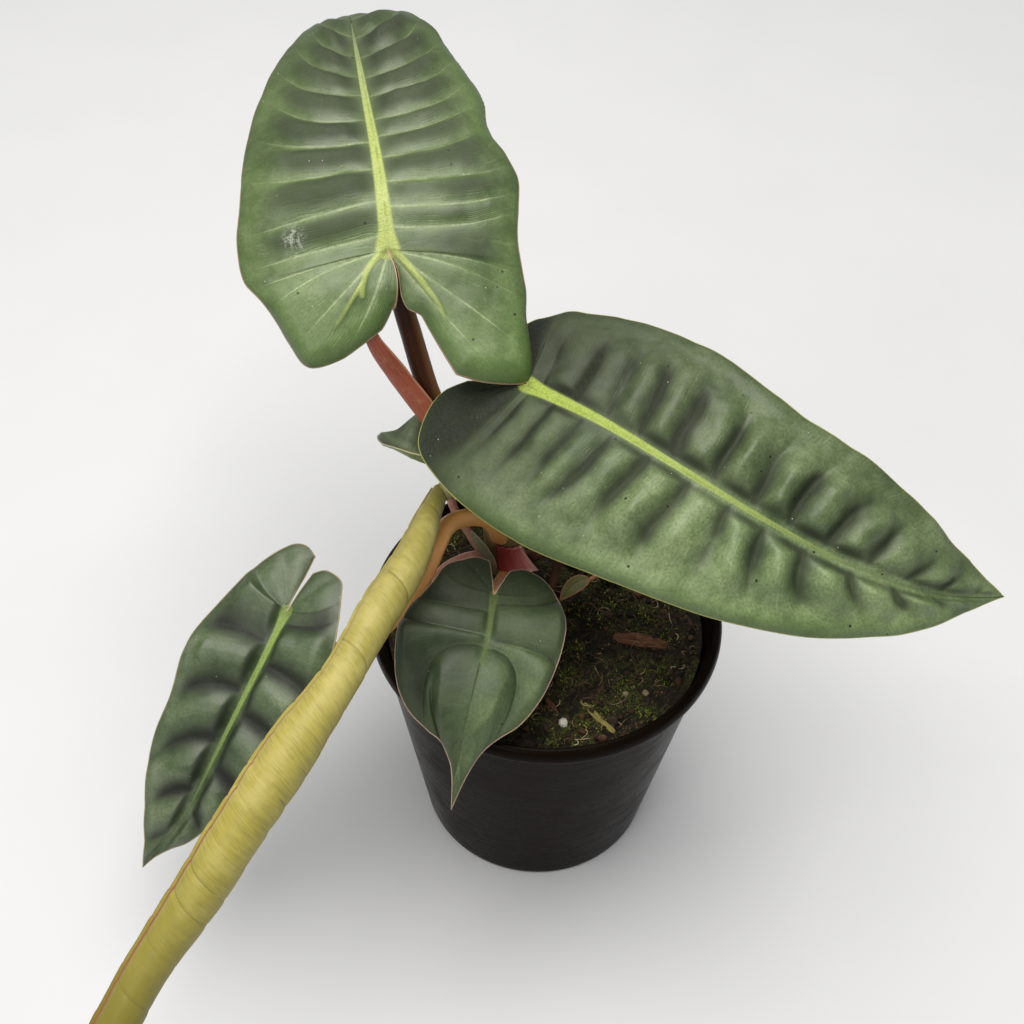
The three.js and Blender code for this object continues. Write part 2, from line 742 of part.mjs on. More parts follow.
function buildStem(grow = 0) {
  const radiusAt = (u) => THREE.MathUtils.lerp(stem.footRadius, stem.headRadius, u);
  const curve = curveThrough(stem.path);
  const { steps, sides } = stem;
  return sweep({ curve, steps, sides, section: round(radiusAt, grow) });
}

const petioles = {
  top: {
    path: [[-12.5, 20, 86], [-17, 22.5, 96], [-22.5, 23, 109], [-30.2, 25.2, 127], [-35.4, 29.3, 145],
      [-38.7, 31.7, 158], [-40.2, 34.2, 164]],
    radii: [3.4, 3, 2.7, 2.6, 2.6, 2.5, 2.3],
    material: finishes.maroon,
  },
  right: {
    path: [[-10, 20, 90], [-9.5, 26, 102], [-14.4, 30, 120], [-16.5, 28.5, 133], [-13, 22.5, 138],
      [-7.8, 15.8, 140.6]],
    radii: [3, 2.6, 2.3, 2.2, 2, 1.8],
    material: finishes.pink,
  },
  left: {
    path: [[-12, 16.5, 87], [-15, 13, 97], [-20.2, 9, 102.5], [-25.2, 4.1, 104.5], [-27.7, -2.8, 104],
      [-30.1, -8.1, 100.5], [-34, -13.5, 95.5], [-40, -17.5, 90], [-46, -18.8, 85], [-52, -17.5, 81.6],
      [-58, -14, 80.6], [-62, -10.8, 82], [-64.2, -9.2, 85]],
    radii: [2.8, 2.5, 2.3, 2.3, 2.3, 2.3, 2.2, 2, 1.9, 1.8, 1.7, 1.6, 1.6],
    material: finishes.orange,
  },
  heart: {
    path: [[-10.5, 16, 73], [-11, 11.5, 77], [-12, 3, 85.5], [-12.8, -5, 93], [-13.1, -11, 97.6],
      [-13.2, -13.6, 99]],
    radii: [2.2, 1.9, 1.6, 1.5, 1.4, 1.4],
    material: finishes.orange,
  },
  back: {
    path: [[-12.5, 19, 76], [-17.3, 15.6, 83], [-21, 16.6, 89], [-24, 18.2, 94], [-26, 20, 99],
      [-27.3, 22.3, 103], [-27.6, 23.4, 106.5]],
    radii: [1.6, 1.3, 1.2, 1.1, 1.1, 1, 1],
    material: finishes.pink,
  },
  tiny: {
    path: [[17, 16.5, 66], [16.6, 15.8, 74], [15, 13.8, 77.8], [12.6, 11.4, 78.8], [10.2, 9, 78.9]],
    radii: [1, 1, 0.9, 0.7, 0.6],
    material: finishes.orange,
  },
};

const newPetiole = {
  path: [[-13, 17.4, 94], [-14.4, 15.7, 102.9], [-17.6, 13.6, 108.6], [-22.3, 11.6, 111.7],
    [-26.9, 9.2, 112]],
  radii: [3.4, 3.2, 3, 2.8, 2.5],
};

// The rolled new leaf. Its free edge winds round it, and the roll steps in a little at each vein.
const rolled = {
  path: [[-27.3, 8.9, 112], [-29.7, -0.8, 112.2], [-31.8, -10.6, 112.2], [-34.6, -19, 112],
    [-38.3, -27.6, 111.6], [-41.7, -36, 110.5], [-44.6, -43.1, 109.3], [-48.4, -50.2, 107.2],
    [-52.2, -56, 105], [-56.9, -63.3, 101.4], [-63, -71.7, 95.6], [-67.7, -77.7, 90.5], [-72, -83, 85],
    [-76.4, -87.8, 79.7], [-81.1, -92.9, 74.3], [-85.3, -97.7, 69.3], [-89.8, -104, 63],
    [-95, -111.5, 55.5], [-99.5, -118.5, 48]],
  radii: [2.3, 3.3, 4.1, 4.8, 5, 4.8, 4.7, 5.2, 6.1, 6.3, 6.1, 6.1, 6, 5.7, 5.3, 5.2, 5.2, 3.9, 0.5],
  steps: 46,
  sides: 16,
  edgeStep: 0.7,
  edgeShare: 0.23,
  edgeStart: 264,
  edgeTwist: -34,
};

const cataphyllRed = {
  path: [[-12.6, 17.6, 92], [-16.6, 19, 100.6], [-22.4, 19.4, 109.5], [-30.2, 20.8, 123.7],
    [-37.8, 21.4, 136.7], [-43, 20.6, 148], [-44.6, 21.5, 155]],
  faces: [-0.35, -0.7, 0.45],
  halfWidths: [2.4, 2.6, 2.9, 3.2, 3.1, 2.8, 1.2],
  halfThickness: 0.75,
  hollow: 0.09,
};

const cataphyllGreen = {
  path: [[-14.3, 12.9, 77.8], [-15.2, 12.5, 82.3], [-17.4, 12.9, 87.3], [-20.1, 14, 91.9]],
  faces: [-0.4, -0.8, 0.3],
  halfWidths: [1.6, 1.7, 1.4, 0.4],
  halfThickness: 0.5,
  hollow: 0.12,
};

const sheathFallen = {
  path: [[-15, 18.6, 76], [-18.5, 17.2, 77.2], [-22.4, 15.6, 76.6], [-26.5, 13, 75.6], [-29.5, 8.6, 74.9]],
  faces: [0.1, -0.3, 1],
  halfWidths: [1.8, 2.4, 2.7, 2.4, 1],
  halfThickness: 0.5,
  hollow: -0.08,
};

// The pink sheath round the foot of the stem, flared at its lower right corner
const sheathRed = {
  fromAngle: -104,
  toAngle: -34,
  bottom: 79.8,
  top: 88,
  gap: 1.3,
  flare: 2.6,
  flareAtStart: 0.35,
  bottomDrop: 1.8,
  topDrop: 3,
  thickness: 0.8,
  columns: 8,
  rows: 5,
};

const root = {
  path: [[-9, 19, 74.5], [-4, 18, 78.5], [-0.8, 16, 82.6], [2, 15.6, 82], [2.6, 14.6, 78], [1.6, 12, 73],
    [0.6, 10, 66]],
  radii: [1.9, 1.8, 1.6, 1.4, 1.2, 1, 0.8],
};

// Pieces lying a little way into the soil: bars by their two ends, and grains by their middle
const SUNK = 0.3;
const END_TAPER = 0.45;

const debris = {
  bark_long: { ends: [[17.2, -3.6], [31.6, -5.2]], halfWidth: 2, halfHeight: 1, material: finishes.bark },
  bark_short: { ends: [[-27, -8], [-21.5, -17]], halfWidth: 1.8, halfHeight: 0.9, material: finishes.bark },
  twig_dead: { ends: [[9, -24], [17.4, -33]], halfWidth: 0.9, halfHeight: 0.8, material: finishes.straw },
  stalk_dead: { ends: [[0.6, -23], [3.6, -29]], halfWidth: 0.8, halfHeight: 0.8, material: finishes.bark },
};

const grains = {
  perlite_a: { at: [4.9, -30.6], radius: 1.25 },
  perlite_b: { at: [25.3, -20.5], radius: 0.9 },
  perlite_c: { at: [20.3, -21.3], radius: 0.8 },
};

function buildPetiole({ path, radii }, grow = 0) {
  const section = round((u) => profile(radii, u), grow);
  return sweep({ curve: curveThrough(path), steps: 2 * path.length + 6, sides: 10, section });
}

// A block whose flat underside lies just below the rib of a blade, where its petiole ends
function seatBelow(leaf) {
  const size = blade.seatSize;
  const { origin, along, side, normal } = midribFrame(leaf, 0);
  const block = new THREE.BoxGeometry(size, size, size);
  const depth = leaf.thickness + leaf.ribHeight + GAP;
  const middle = origin.clone().addScaledVector(normal, size / 2 - depth);
  return block.applyMatrix4(new THREE.Matrix4().makeBasis(along, side, normal).setPosition(middle));
}

function buildStrap(strap, grow = 0) {
  const section = (u, angle) => {
    const across = (profile(strap.halfWidths, u) + grow) * Math.cos(angle);
    return [across, (strap.halfThickness + grow) * Math.sin(angle) - strap.hollow * across ** 2];
  };
  return sweep({ curve: curveThrough(strap.path), steps: 14, sides: 12, section, up: strap.faces });
}

function buildRolledLeaf(grow = 0) {
  const section = (u, angle) => {
    const edge = radians(rolled.edgeStart + rolled.edgeTwist * u);
    const outer = profile(rolled.radii, u);
    const wound = Math.min(rolled.edgeStep, rolled.edgeShare * outer) * (angle / (2 * Math.PI));
    const radius = outer + grow - wound;
    return [radius * Math.cos(angle + edge), radius * Math.sin(angle + edge)];
  };
  const { steps, sides } = rolled;
  return sweep({ curve: curveThrough(rolled.path), steps, sides, section });
}

function buildSheathRed() {
  const { columns, rows } = sheathRed;
  const points = [];
  const triangles = [];
  for (let i = 0; i <= columns; i += 1) {
    const part = i / columns;
    const angle = radians(THREE.MathUtils.lerp(sheathRed.fromAngle, sheathRed.toAngle, part));
    for (let j = 0; j <= rows; j += 1) {
      const drop = 1 - j / rows;
      const low = sheathRed.bottom - sheathRed.bottomDrop * part ** 2;
      const high = sheathRed.top - sheathRed.topDrop * part;
      const z = THREE.MathUtils.lerp(high, low, drop);
      const [x, y, axisRadius] = stemAt(z);
      const flare = sheathRed.flare * THREE.MathUtils.lerp(sheathRed.flareAtStart, 1, part);
      const radius = axisRadius + sheathRed.gap + flare * drop ** 2;
      points.push(new THREE.Vector3(x + radius * Math.cos(angle), y + radius * Math.sin(angle), z));
      if (i > 0 && j > 0) {
        const corner = i * (rows + 1) + j;
        const before = corner - rows - 1;
        triangles.push([before - 1, corner - 1, corner], [before - 1, corner, before]);
      }
    }
  }
  return thicken({ points, triangles }, points.map(() => sheathRed.thickness));
}

// The stem's middle and radius at a height
function stemAt(z) {
  const [low, high] = [stem.path[0][2], stem.path[stem.path.length - 1][2]];
  const u = THREE.MathUtils.clamp((z - low) / (high - low), 0, 1);
  const middle = curveThrough(stem.path).getPointAt(u);
  return [middle.x, middle.y, THREE.MathUtils.lerp(stem.footRadius, stem.headRadius, u)];
}

function buildDebris({ ends: [from, to], halfWidth, halfHeight }, grow = 0) {
  const path = [0, 0.5, 1].map((t) => {
    const [x, y] = [0, 1].map((k) => THREE.MathUtils.lerp(from[k], to[k], t));
    return [x, y, soilHeight(x, y) + SUNK * halfHeight];
  });
  const section = (u, angle) => {
    const taper = THREE.MathUtils.lerp(END_TAPER, 1, Math.sqrt(Math.max(0, Math.sin(Math.PI * u))));
    return [(halfWidth * taper + grow) * Math.cos(angle), (halfHeight * taper + grow) * Math.sin(angle)];
  };
  return sweep({ curve: curveThrough(path), steps: 6, sides: 8, section, up: [0, 0, 1] });
}

function buildGrain({ at: [x, y], radius }, grow = 0) {
  const grain = welded(new THREE.IcosahedronGeometry(radius + grow, 1));
  grain.translate(x, y, soilHeight(x, y) + SUNK * radius);
  return grain;
}

// Assembly: every piece is cut clear of what carries it, with the same small gap

const grown = Object.fromEntries(Object.entries(leaves).map(([name, leaf]) => [name, prepareLeaf(leaf)]));
const stemSeat = buildStem(GAP);
const rooted = [petioles.tiny, petioles.heart, root].map((bar) => buildPetiole(bar, GAP));
const soilTools = [stemSeat, ...rooted, buildStrap(sheathFallen, GAP)];

for (const [name, leaf] of Object.entries(grown)) {
  add(`blade_${name}`, buildBlade(leaf), name === "left" ? finishes.darkLeaf : finishes.leaf);
}
for (const [name, petiole] of Object.entries(petioles)) {
  add(`petiole_${name}`, cut(buildPetiole(petiole), stemSeat, seatBelow(grown[name])), petiole.material);
}
add("stem", buildStem(), finishes.stemGreen);
add("rolled_leaf", buildRolledLeaf(), finishes.newLeaf);
const besideNew = [stemSeat, buildRolledLeaf(GAP), buildPetiole(petioles.left, GAP)];
add("petiole_new", cut(buildPetiole(newPetiole), ...besideNew), finishes.stemGreen);
const besideRed = [stemSeat, buildPetiole(newPetiole, GAP), buildPetiole(petioles.top, GAP)];
add("cataphyll_red", cut(buildStrap(cataphyllRed), ...besideRed), finishes.red);
add("cataphyll_green", buildStrap(cataphyllGreen), finishes.sheathGreen);
add("sheath_fallen", cut(buildStrap(sheathFallen), stemSeat), finishes.pink);
add("sheath_red", buildSheathRed(), finishes.red);
add("root_brown", cut(buildPetiole(root), stemSeat), finishes.maroon);
for (const [name, piece] of Object.entries(debris)) {
  soilTools.push(buildDebris(piece, GAP));
  add(name, buildDebris(piece), piece.material);
}
for (const [name, grain] of Object.entries(grains)) {
  soilTools.push(buildGrain(grain, GAP));
  add(name, buildGrain(grain), finishes.perlite);
}
add("soil", cut(buildSoil(), ...soilTools), finishes.peat);
add("pot", buildPot(), finishes.plastic);

export default plant;
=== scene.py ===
# Potted philodendron billietiae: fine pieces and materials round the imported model.
# Shapes are worked out in millimetres and stored in metres.

import math
from types import SimpleNamespace

import bmesh
import bpy
import numpy as np
from mathutils import Matrix, Vector, noise


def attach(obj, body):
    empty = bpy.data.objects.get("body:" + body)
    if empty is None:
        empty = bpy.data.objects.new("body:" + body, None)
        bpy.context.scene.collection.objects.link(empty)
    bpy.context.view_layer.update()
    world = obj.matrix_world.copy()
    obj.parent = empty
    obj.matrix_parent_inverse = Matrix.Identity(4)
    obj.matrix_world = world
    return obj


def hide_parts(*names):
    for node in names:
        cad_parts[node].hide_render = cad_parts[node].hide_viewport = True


MM = 0.001
FULL_TURN = 2 * math.pi

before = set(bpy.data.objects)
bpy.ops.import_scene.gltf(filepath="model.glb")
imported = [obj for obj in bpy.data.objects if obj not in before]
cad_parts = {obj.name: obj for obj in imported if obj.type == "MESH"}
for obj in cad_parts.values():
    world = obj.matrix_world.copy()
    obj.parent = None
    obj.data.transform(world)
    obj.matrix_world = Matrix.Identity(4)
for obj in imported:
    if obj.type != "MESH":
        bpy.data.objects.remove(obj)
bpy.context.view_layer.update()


# The camera, at the photograph's angle, and the stage

CAMERA_PLACE = (-0.0097, -0.2413, 0.3772)
CAMERA_PITCH = 47.4
CAMERA_ROLL = 2.2
CAMERA_LENS = 52.73
SENSOR_WIDTH = 36
CLIP_START = 0.01
FLOOR_HALF = 3
FLOOR_DARK, FLOOR_PALE = (0.6, 0.61, 0.64), (0.64, 0.65, 0.68)
WORLD_COLOR = (0.98, 0.98, 1.0, 1)
WORLD_STRENGTH = 0.32
LAMP_COLOR = (1.0, 0.97, 0.9)
# Each lamp's place, the point it faces, its size in metres and its power
LAMPS = {
    "sky": ((-0.1, 0.05, 1.15), (0, 0.02, 0.1), (1.2, 0.9), 18),
    "front": ((-0.5, -0.9, 0.75), (0, 0, 0.1), (0.6, 0.5), 3),
}


def add_object(name, data):
    item = bpy.data.objects.new(name, data)
    bpy.context.scene.collection.objects.link(item)
    return item


def make_camera():
    pitch, roll = math.radians(CAMERA_PITCH), math.radians(CAMERA_ROLL)
    ahead = Vector((0, math.cos(pitch), -math.sin(pitch)))
    level = Vector((1, 0, 0))
    above = level.cross(ahead)
    right = level * math.cos(roll) + above * math.sin(roll)
    up = above * math.cos(roll) - level * math.sin(roll)
    data = bpy.data.cameras.new("camera")
    data.lens = CAMERA_LENS
    data.sensor_width = SENSOR_WIDTH
    data.clip_start = CLIP_START
    camera = add_object("camera", data)
    camera.matrix_world = Matrix.Translation(CAMERA_PLACE) @ Matrix((right, up, -ahead)).transposed().to_4x4()
    bpy.context.scene.camera = camera


def build_stage():
    mesh = bpy.data.meshes.new("floor")
    corners = [(x * FLOOR_HALF, y * FLOOR_HALF, 0) for x, y in ((-1, -1), (1, -1), (1, 1), (-1, 1))]
    mesh.from_pydata(corners, [], [(0, 1, 2, 3)])
    floor = add_object("floor", mesh)
    s = Shader("floor")
    mesh.materials.append(s.finish(s.mix(s.noise(60, 3, 0.5), FLOOR_DARK, FLOOR_PALE), 0.85))
    world = bpy.data.worlds.new("studio")
    world.use_nodes = True
    background = world.node_tree.nodes["Background"]
    background.inputs["Color"].default_value = WORLD_COLOR
    background.inputs["Strength"].default_value = WORLD_STRENGTH
    bpy.context.scene.world = world
    bpy.context.scene.view_settings.view_transform = "Standard"
    for name, (place, target, size, power) in LAMPS.items():
        data = bpy.data.lights.new(name, "AREA")
        data.shape = "RECTANGLE"
        data.size, data.size_y = size
        data.energy = power
        data.color = LAMP_COLOR
        lamp = add_object(name, data)
        lamp.location = place
        lamp.rotation_euler = (Vector(target) - Vector(place)).to_track_quat("-Z", "Y").to_euler()


# Curves and noise

CURVE_SAMPLES, PATH_SAMPLES = 400, 1500
TANGENT_SHARE = 0.004


def unit(v):
    return v / np.maximum(np.linalg.norm(v, axis=-1, keepdims=True), 1e-12)


def smoothstep(low, high, value):
    t = np.clip((np.asarray(value, float) - low) / (high - low), 0, 1)
    return t * t * (3 - 2 * t)


def bell(value, wide):
    return np.exp(-(value / wide) ** 2)


def profile(values, u):
    return np.interp(np.clip(u, 0, 1), np.linspace(0, 1, len(values)), values)


def rough(points, scale, octaves):
    """Smooth noise from about -1 to 1 at each point, with features about scale millimetres across."""
    values = [noise.fractal(Vector(p) / scale, 1.0, 2.0, octaves) for p in points.reshape(-1, 3)]
    return np.reshape(values, points.shape[:-1])


def catmull(points, count, mirrored=True):
    """Points along a uniform Catmull-Rom curve."""
    p = np.asarray(points, float)
    ends = (2 * p[:1] - p[1:2], 2 * p[-1:] - p[-2:-1]) if mirrored else (p[:1], p[-1:])
    q = np.vstack([ends[0], p, ends[1]])
    t = np.linspace(0, len(p) - 1, count)
    i = np.minimum(t.astype(int), len(p) - 2)
    f = (t - i)[:, None]
    a, b, c, d = q[i], q[i + 1], q[i + 2], q[i + 3]
    v0, v1 = (c - a) / 2, (d - b) / 2
    return (2 * b - 2 * c + v0 + v1) * f ** 3 + (3 * c - 3 * b - 2 * v0 - v1) * f ** 2 + v0 * f + b


def eased(values, u):
    """A smooth curve through evenly spaced values."""
    return profile(catmull(np.asarray(values, float)[:, None], CURVE_SAMPLES)[:, 0], u)


def travelled(points):
    """How far along a line each of its points lies."""
    return np.concatenate([[0], np.cumsum(np.linalg.norm(np.diff(points, axis=0), axis=1))])


class Path:
    """A smooth path through points, read by the share of its length."""

    def __init__(self, points):
        self.points = catmull(points, PATH_SAMPLES)
        self.arc = travelled(self.points)
        self.length = self.arc[-1]

    def at(self, u):
        s = np.clip(u, 0, 1) * self.length
        return np.stack([np.interp(s, self.arc, self.points[:, k]) for k in range(3)], -1)

    def tangent(self, u):
        return unit(self.at(u + TANGENT_SHARE) - self.at(u - TANGENT_SHARE))

    def frames(self, count, up=None):
        """Places along the path, with two directions across it. The first is square to up, if it is given."""
        u = np.linspace(0, 1, count)
        tangents = self.tangent(u)
        normals = carried(tangents) if up is None else unit(np.cross(np.array(up, float), tangents))
        return self.at(u), normals, np.cross(tangents, normals)


def carried(tangents):
    """Normals carried along a path without twisting."""
    first = tangents[0]
    axis = np.eye(3)[np.argmin(np.abs(first))]
    normal = np.cross(first, unit(np.cross(first, axis)))
    normals = [normal]
    for before, tangent in zip(tangents, tangents[1:]):
        turn = np.cross(before, tangent)
        size = np.linalg.norm(turn)
        if size > 1e-9:
            angle = math.atan2(size, float(np.dot(before, tangent)))
            normal = np.array(Matrix.Rotation(angle, 3, Vector(turn / size)) @ Vector(normal))
        normals.append(unit(normal))
    return np.array(normals)


# Meshes

WELD_METRES = 0.00002


def make_object(name, points, faces, smooth=True, **attributes):
    """A mesh object from points in millimetres, with float attributes of its points."""
    mesh = bpy.data.meshes.new(name)
    mesh.from_pydata((points * MM).tolist(), [], faces)
    for key, values in attributes.items():
        layer = mesh.attributes.new(key, "FLOAT", "POINT")
        layer.data.foreach_set("value", np.ravel(values).astype(np.float32))
    mesh.shade_flat()
    if smooth:
        mesh.shade_smooth()
    mesh.validate()
    return add_object(name, mesh)


def circle(sides):
    return np.linspace(0, FULL_TURN, sides, endpoint=False)


def upright(radius, angle, z):
    """Points round the z axis."""
    x, y, z = np.broadcast_arrays(radius * np.cos(angle), radius * np.sin(angle), z)
    return np.stack([x, y, z], -1)


def grid_faces(rows, columns, wrap=False):
    i, j = np.meshgrid(np.arange(rows - 1), np.arange(columns if wrap else columns - 1), indexing="ij")
    a, b = i * columns + j, i * columns + (j + 1) % columns
    return np.stack([a, b, b + columns, a + columns], -1).reshape(-1, 4)


def tube_faces(rows, sides):
    """The wall and both ends of a tube."""
    last = (rows - 1) * sides
    ends = [list(range(sides - 1, -1, -1)), list(range(last, last + sides))]
    return grid_faces(rows, sides, wrap=True).tolist() + ends


def tube_points(centres, normals, others, a, b):
    return centres[:, None] + normals[:, None] * a[..., None] + others[:, None] * b[..., None]


def shell(name, upper, lower, **attributes):
    """A closed sheet between two grids of points."""
    rows, columns = upper.shape[:2]
    order = np.arange(rows * columns).reshape(rows, columns)
    ring = np.concatenate([order[0], order[1:, -1], order[-1, -2::-1], order[-2:0:-1, 0]])
    after = np.roll(ring, -1)
    top = grid_faces(rows, columns)
    wall = np.stack([ring, ring + order.size, after + order.size, after], -1)
    faces = np.concatenate([top, top[:, ::-1] + order.size, wall]).tolist()
    points = np.concatenate([upper.reshape(-1, 3), lower.reshape(-1, 3)])
    both = {key: [values, values] for key, values in attributes.items()}
    item = make_object(name, points, faces, upper=[order * 0 + 1, order * 0], **both)
    work = bmesh.new()
    work.from_mesh(item.data)
    bmesh.ops.remove_doubles(work, verts=work.verts, dist=WELD_METRES)
    bmesh.ops.dissolve_degenerate(work, edges=work.edges, dist=WELD_METRES / 4)
    bmesh.ops.recalc_face_normals(work, faces=work.faces)
    work.to_mesh(item.data)
    work.free()
    item.data.shade_smooth()
    return item


class Heap:
    """Many small shapes gathered into one piece."""

    def __init__(self):
        self.points, self.faces, self.shades, self.count = [], [], [], 0

    def add(self, points, faces, shade):
        self.points.append(np.asarray(points, float))
        self.faces += [[corner + self.count for corner in face] for face in faces]
        self.shades.append(np.full(len(points), shade))
        self.count += len(points)

    def make(self, name, smooth=True):
        points, shades = np.concatenate(self.points), np.concatenate(self.shades)
        return make_object(name, points, self.faces, smooth, shade=shades)


# Materials

class Value:
    """What a node of a material works out, so that sums with it can be written plainly."""

    def __init__(self, shader, socket):
        self.shader, self.socket = shader, socket

    def __add__(self, other):
        return self.shader.math("ADD", self, other)

    def __sub__(self, other):
        return self.shader.math("SUBTRACT", self, other)

    def __mul__(self, other):
        return self.shader.math("MULTIPLY", self, other)

    def __truediv__(self, other):
        return self.shader.math("DIVIDE", self, other)


class Shader:
    """Builds one node material. Colours are tuples, vectors are lists."""

    def __init__(self, name):
        self.material = bpy.data.materials.new(name)
        self.material.use_nodes = True
        self.tree = self.material.node_tree
        self.tree.nodes.clear()
        self.place = self.add("TexCoord", {}, "Object")

    def feed(self, socket, value):
        if isinstance(value, Value):
            self.tree.links.new(value.socket, socket)
        else:
            socket.default_value = (*value, 1) if isinstance(value, tuple) else value

    def add(self, kind, inputs, output=0, **settings):
        """A node with its settings and inputs, and the value of one of its outputs."""
        node = self.tree.nodes.new("ShaderNode" + kind)
        for key, value in settings.items():
            setattr(node, key, value)
        for key, value in inputs.items():
            self.feed(node.inputs[key], value)
        return Value(self, node.outputs[output])

    def attribute(self, name):
        return self.add("Attribute", {}, "Fac", attribute_name=name)

    def math(self, operation, *values, clamp=False):
        return self.add("Math", dict(enumerate(values)), operation=operation, use_clamp=clamp)

    def step(self, value, low, high, start=0.0, end=1.0):
        """A smooth step of a value, from start at low to end at high."""
        inputs = {"Value": value, "From Min": low, "From Max": high, "To Min": start, "To Max": end}
        return self.add("MapRange", inputs, interpolation_type="SMOOTHSTEP")

    def mix(self, factor, a, b, blend="MIX"):
        return self.add("Mix", {"Factor": factor, 6: a, 7: b}, 2, data_type="RGBA", blend_type=blend)

    def stretched(self, *scale):
        return self.add("Mapping", {"Vector": self.place, "Scale": list(scale)})

    def combine(self, x, y, z=0.0):
        return self.add("CombineXYZ", {0: x, 1: y, 2: z})

    def fibres(self, around, around2, along):
        """Coordinates along a bar, with a number of fibres for each direction."""
        return self.combine(self.attribute("around") * around, self.attribute("around2") * around2,
                            self.attribute("length") * along)

    def noise(self, size, detail, roughness, where=None, distortion=0.0):
        """Noise with features of a size in millimetres, or in the units of where."""
        scale = 1 / size if where else 1 / (size * MM)
        return self.add("TexNoise", {"Vector": where or self.place, "Scale": scale, "Detail": detail,
                                     "Roughness": roughness, "Distortion": distortion}, "Fac")

    def cells(self, size):
        """The distance from the nearest of many points, which lie about a size in millimetres apart."""
        return self.add("TexVoronoi", {"Vector": self.place, "Scale": 1 / (size * MM)}, "Distance")

    def clouds(self, size, detail, roughness, *limits):
        """Noise turned into patches by a smooth step."""
        return self.step(self.noise(size, detail, roughness), *limits)

    def shade(self, color, factor):
        return self.mix(1.0, color, factor, "MULTIPLY")

    def ramp(self, factor, *stops):
        node = self.tree.nodes.new("ShaderNodeValToRGB")
        elements = node.color_ramp.elements
        while len(elements) < len(stops):
            elements.new(0.5)
        for element, (position, color) in zip(elements, stops):
            element.position = position
            element.color = (*color, 1)
        self.feed(node.inputs["Fac"], factor)
        return Value(self, node.outputs["Color"])

    def bump(self, height, distance, strength):
        """A bump whose full height is a distance in millimetres."""
        return self.add("Bump", {"Height": height, "Distance": distance * MM, "Strength": strength})

    def finish(self, color, roughness, normal=None, shine=0.5):
        inputs = {"Base Color": color, "Roughness": roughness, "Specular IOR Level": shine}
        if normal:
            inputs["Normal"] = normal
        surface = self.add("BsdfPrincipled", inputs)
        output = self.tree.nodes.new("ShaderNodeOutputMaterial")
        self.feed(output.inputs["Surface"], surface)
        return self.material


def dress(item, material, slot, *nodes):
    item.data.materials.append(material)
    if nodes:
        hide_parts(*nodes)
    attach(item, "root")


# The leaves, measured as in the part: midribs, outlines and curves in millimetres

SWEEP_PLACE = 0.35
FAN_STRAIGHT = -0.5
TIP_SWEEP, TIP_STRAIGHT = 0.45, 0.9
LOBE_REACH = 10
MARGIN_SAMPLES = 400
MARGIN_ROWS = 0.7
EAR_RISE, EAR_FALL, EAR_ROWS = (0.12, 0.38), (0.52, 0.41), -0.78
# The sizes of the noise in a leaf's surface
WARP_SIZE, SHARE_SIZE, DIM_SIZE = 16, 15, 10
RIPPLE_SIZE, FINE_SIZE, WAVE_SIZE = 9, 2.6, 13
# How much one pillow may differ from the next
SHARES = (0.82, 1.12)
# Where the pillows flatten, as shares of the leaf's length
TIP_CALM = (0.5, 0.66)
LOBE_CALM = (0.05, -0.15)
CURL_REACH, CURL_FADE = 5, 4
BASAL_RISE, BASAL_REACH = 0.3, 1.4
VEIN_DEPTH, RIM_WIDTH, RIM_ROUND = 0.35, 1.1, 0.16
LANE_SHIFT = 0.37

# What most leaves share. A curl runs between two places of a half, with its amount and its reach. A basal rib
# runs into a lobe, with its half widths at the start and the end and the share by which it fades.
PLAIN_LEAF = dict(roll=[0, 0], sweep=0.62)
PLAIN_HALF = dict(lobe_angle=8, lobe_bend=0, lobe_lift=0, notch_bow=0, ear=0, basal=(), curls=())

